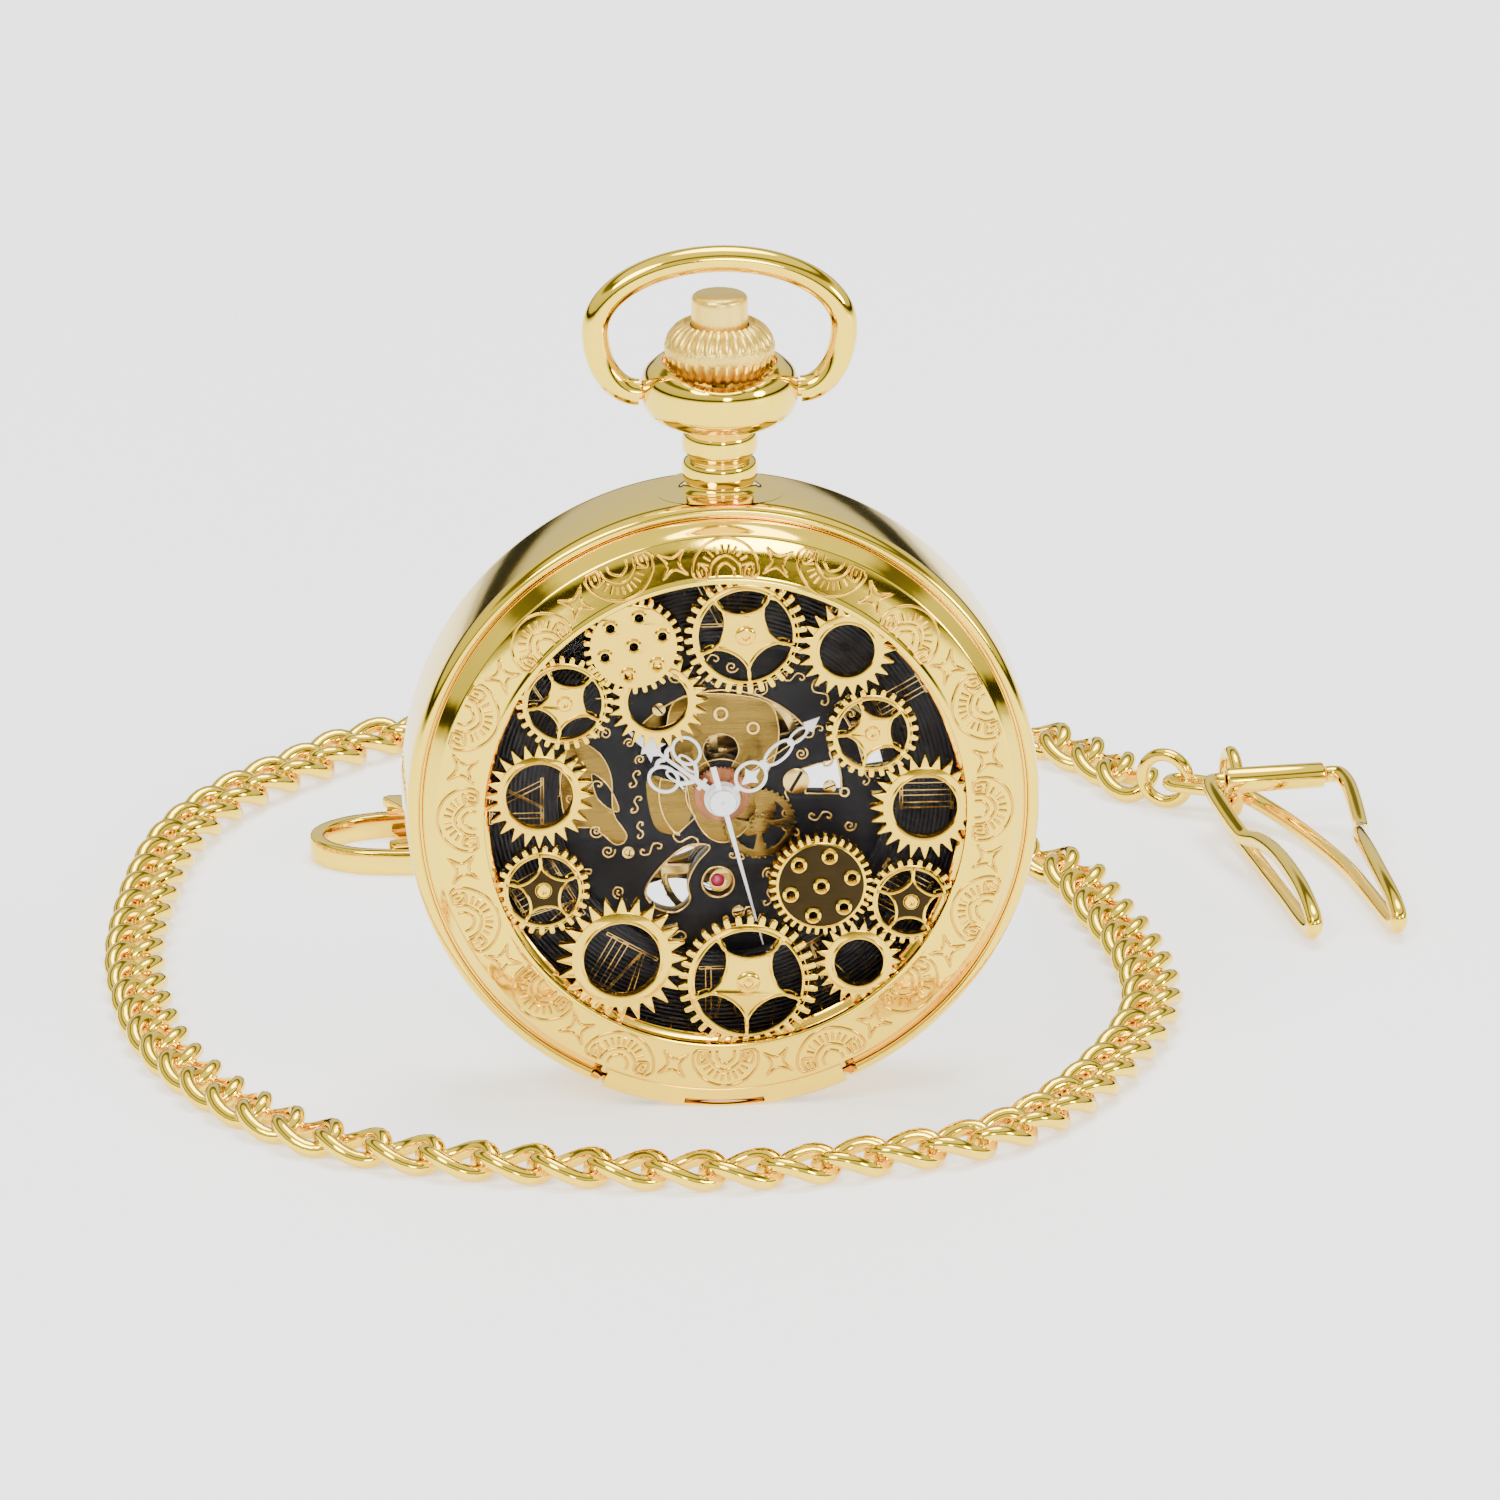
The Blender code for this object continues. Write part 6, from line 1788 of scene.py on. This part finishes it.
    def build_wheels(self) -> None:
        """Going train, escapement, motion work and winding work."""
        pivot = -3.15
        self.wheel("seconds_wheel_cut", "centre", 2.7, 72, (-2.0, -1.8), GILT_BRIGHT,
                   "second_hand", ("seconds_wheel",), 4, (0.48, -1.35, -0.85),
                   (0.25, pivot, 3.55))
        self.wheel("third_wheel_cut", "third", 3.6, 75, (-1.2, -1.0), GILT_BRIGHT,
                   "third_wheel", ("third_wheel",), 5, (0.49, -2.8, -2.3), (0.25, pivot, -0.55))
        self.wheel("great_wheel_cut", "great", 3.9, 80, (-2.65, -2.45), GILT_BRIGHT,
                   "great_wheel", ("great_wheel",), 5, (0.8, -1.25, -0.8),
                   (0.25, pivot, -0.55))
        self.wheel("barrel_cut", "barrel", 5.0, 75, (-2.3, -0.75), GILT, "barrel",
                   ("mainspring_barrel",))
        self.wheel("escape_wheel_cut", "escape", 1.9, 15, (-1.05, -0.9), STEEL, "escape_wheel",
                   ("escape_wheel",), 4, (0.3, -2.1, -1.7), (0.15, pivot, -0.55))
        self.wheel("minute_wheel_cut", "minute", 2.76, 36, (1.08, 1.28), GILT,
                   "minute_wheel", ("minute_wheel",), 4, (0.73, 1.28, 1.6))
        self.wheel("hour_wheel_cut", "centre", 2.2, 48, (1.42, 1.6), COPPER, "hour_hand",
                   ("hour_wheel",), 0, None, (0.95, 1.4, 2.4))
        self.wheel("ratchet_wheel_cut", "barrel", 4.4, 56, (-4.25, -3.88), STEEL, "ratchet",
                   ("ratchet_wheel",), 0, None, (0.8, -4.3, -0.6))
        self.wheel("crown_wheel_cut", "crown", 3.5, 44, (-4.25, -3.88), STEEL, "crown_wheel",
                   ("crown_wheel",))

    def build_balance(self) -> None:
        """Balance with screws on its rim, and the hairspring's coils."""
        x, y = self.places["balance"]
        rim, bar = 3.6, 0.4
        lean = math.degrees(math.asin(bar / rim))
        moons = [arc(0, 0, rim, lean, 180 - lean, 30), arc(0, 0, rim, 180 + lean, 360 - lean, 30)]
        wheel = self.maker.plate("balance_rim", [circle(0, 0, 4.1, 96)] + moons, -2.5, -2.15,
                                 0.04, UPRIGHT)
        staff = self.maker.lathe("balance_staff", [(0.0, -0.55), (0.15, -0.6), (0.2, -1.0),
                                                   (0.35, -2.0), (0.35, -2.6), (0.2, -2.9),
                                                   (0.1, -3.15), (0.0, -3.15)], False, 20,
                                 UPRIGHT)
        weight = self.maker.wires("rim_screw", [[(-0.1, 0.0, -2.32), (0.1, 0.0, -2.32)]], 0.13,
                                  sides=2)
        base = Maker.join("balance_base", [wheel, staff])
        place = DIAL @ Matrix.Translation((x * MM, y * MM, 0.0))
        made = self.ring.make("balance_cut", weight, 24, 4.08, GILT_BRIGHT, 0.0, base, place)
        Maker.present(made, GILT_BRIGHT, "balance", ("balance_wheel",))
        coil = [(px, py, -2.72) for px, py in spiral(0, 0, 2.2, 9, 0)]
        Maker.present(self.maker.wires("hairspring_coil", [coil], 0.045, False, place, 1), STEEL,
                      "balance", ("hairspring",), FINE_LINE)

    def build_bridges(self) -> None:
        """Bridges behind the train, with edges, and their jewels and screws."""
        barrel = arc(0, 0, 18.3, 96, 206, 60) + smooth(
            [(-10.5, -3.4), (-5.2, -1.4), (-3.3, 1.9), (-3.8, 5.2), (-2.6, 8.2), (0.2, 10.4)])
        train = smooth([(-2.1, 7.0), (0.2, 7.6), (3.8, 5.6), (9.6, 5.2), (11.4, 3.2),
                        (10.0, 1.3), (4.6, 0.8), (2.2, -0.8), (2.6, -3.4), (1.2, -3.9),
                        (-0.4, -2.2), (-1.6, 0.6), (-2.0, 3.0), (-2.6, 5.0)], True)
        cock = smooth([(-11.6, -8.4), (-10.0, -10.2), (-7.6, -9.3), (-3.6, -8.0),
                       (-1.0, -8.4), (0.6, -8.1), (1.1, -7.0), (0.5, -5.9), (-0.9, -5.6),
                       (-3.6, -6.5), (-7.9, -6.7), (-10.4, -6.4)], True)
        spot = self.places
        rules = {
            "barrel_bridge": (barrel, [circle(*spot["barrel"], 0.9)], [(-14.6, 8.2),
                                                                       (-13.4, -5.4)]),
            "train_bridge": (train, [circle(*spot[n], 0.72) for n in
                                     ("centre", "third", "great", "escape")], [(10.0, 3.2)]),
            "balance_cock": (cock, [circle(*spot["balance"], 0.72)], [(-9.6, -8.2)])}
        edges = []
        for name, (outer, holes, feet) in rules.items():
            solids = [self.maker.plate(name, [outer] + holes, -3.8, -3.0, 0.1)]
            solids += [self.maker.plate("foot", [circle(x, y, 1.2)], -3.1, -0.56, 0.03)
                       for x, y in feet]
            Maker.present(Maker.join(name + "_cut", solids), GILT, "case", (name,))
            edges += [[(x, y, -3.8) for x, y in loop] for loop in holes]
        self.bright_lines("jewel_rims", edges, 0.08)


def dress_cad_nodes(frame: dict) -> None:
    """Give the CAD nodes that stay in view their finishes.
    """
    finishes = {"crystal_bezel": GOLD, "movement_ring": BLACK_PLATE, "jewel": RUBY}
    finishes.update(dict.fromkeys(("bridge_screw", "lift_spring", "lock_spring", "pallet_fork",
                                   "click", "cannon_pinion", "winding_stem", "clutch_wheel"),
                                  STEEL))
    for name, node in frame["nodes"].items():
        finish = next((look for start, look in finishes.items() if name.startswith(start)), None)
        if finish is not None:
            node.data.materials.clear()
            node.data.materials.append(finish.material())


def main() -> None:
    """Build the studio, the chain, the case, the dial and the movement in order."""
    logging.basicConfig(level=logging.INFO, format="%(message)s")
    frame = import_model()
    maker, ring = Maker(), RingOfParts()
    studio = Studio()
    studio.build_camera()
    ChainLooks(maker, LinksOnPath()).build()
    case = CaseLooks(maker, ring)
    case.build_case()
    case.build_pendant()
    case.build_crown()
    lid = LidLooks(maker, ring)
    lid.build_ring()
    lid.build_ornament()
    lid.build_gears()
    dial = DialLooks(maker, ring)
    dial.build_dial()
    dial.build_hands()
    movement = MovementLooks(maker, ring)
    movement.build_plate()
    movement.build_wheels()
    movement.build_balance()
    movement.build_bridges()
    dress_cad_nodes(frame)
    studio.build_room()


if __name__ == "__main__":
    main()
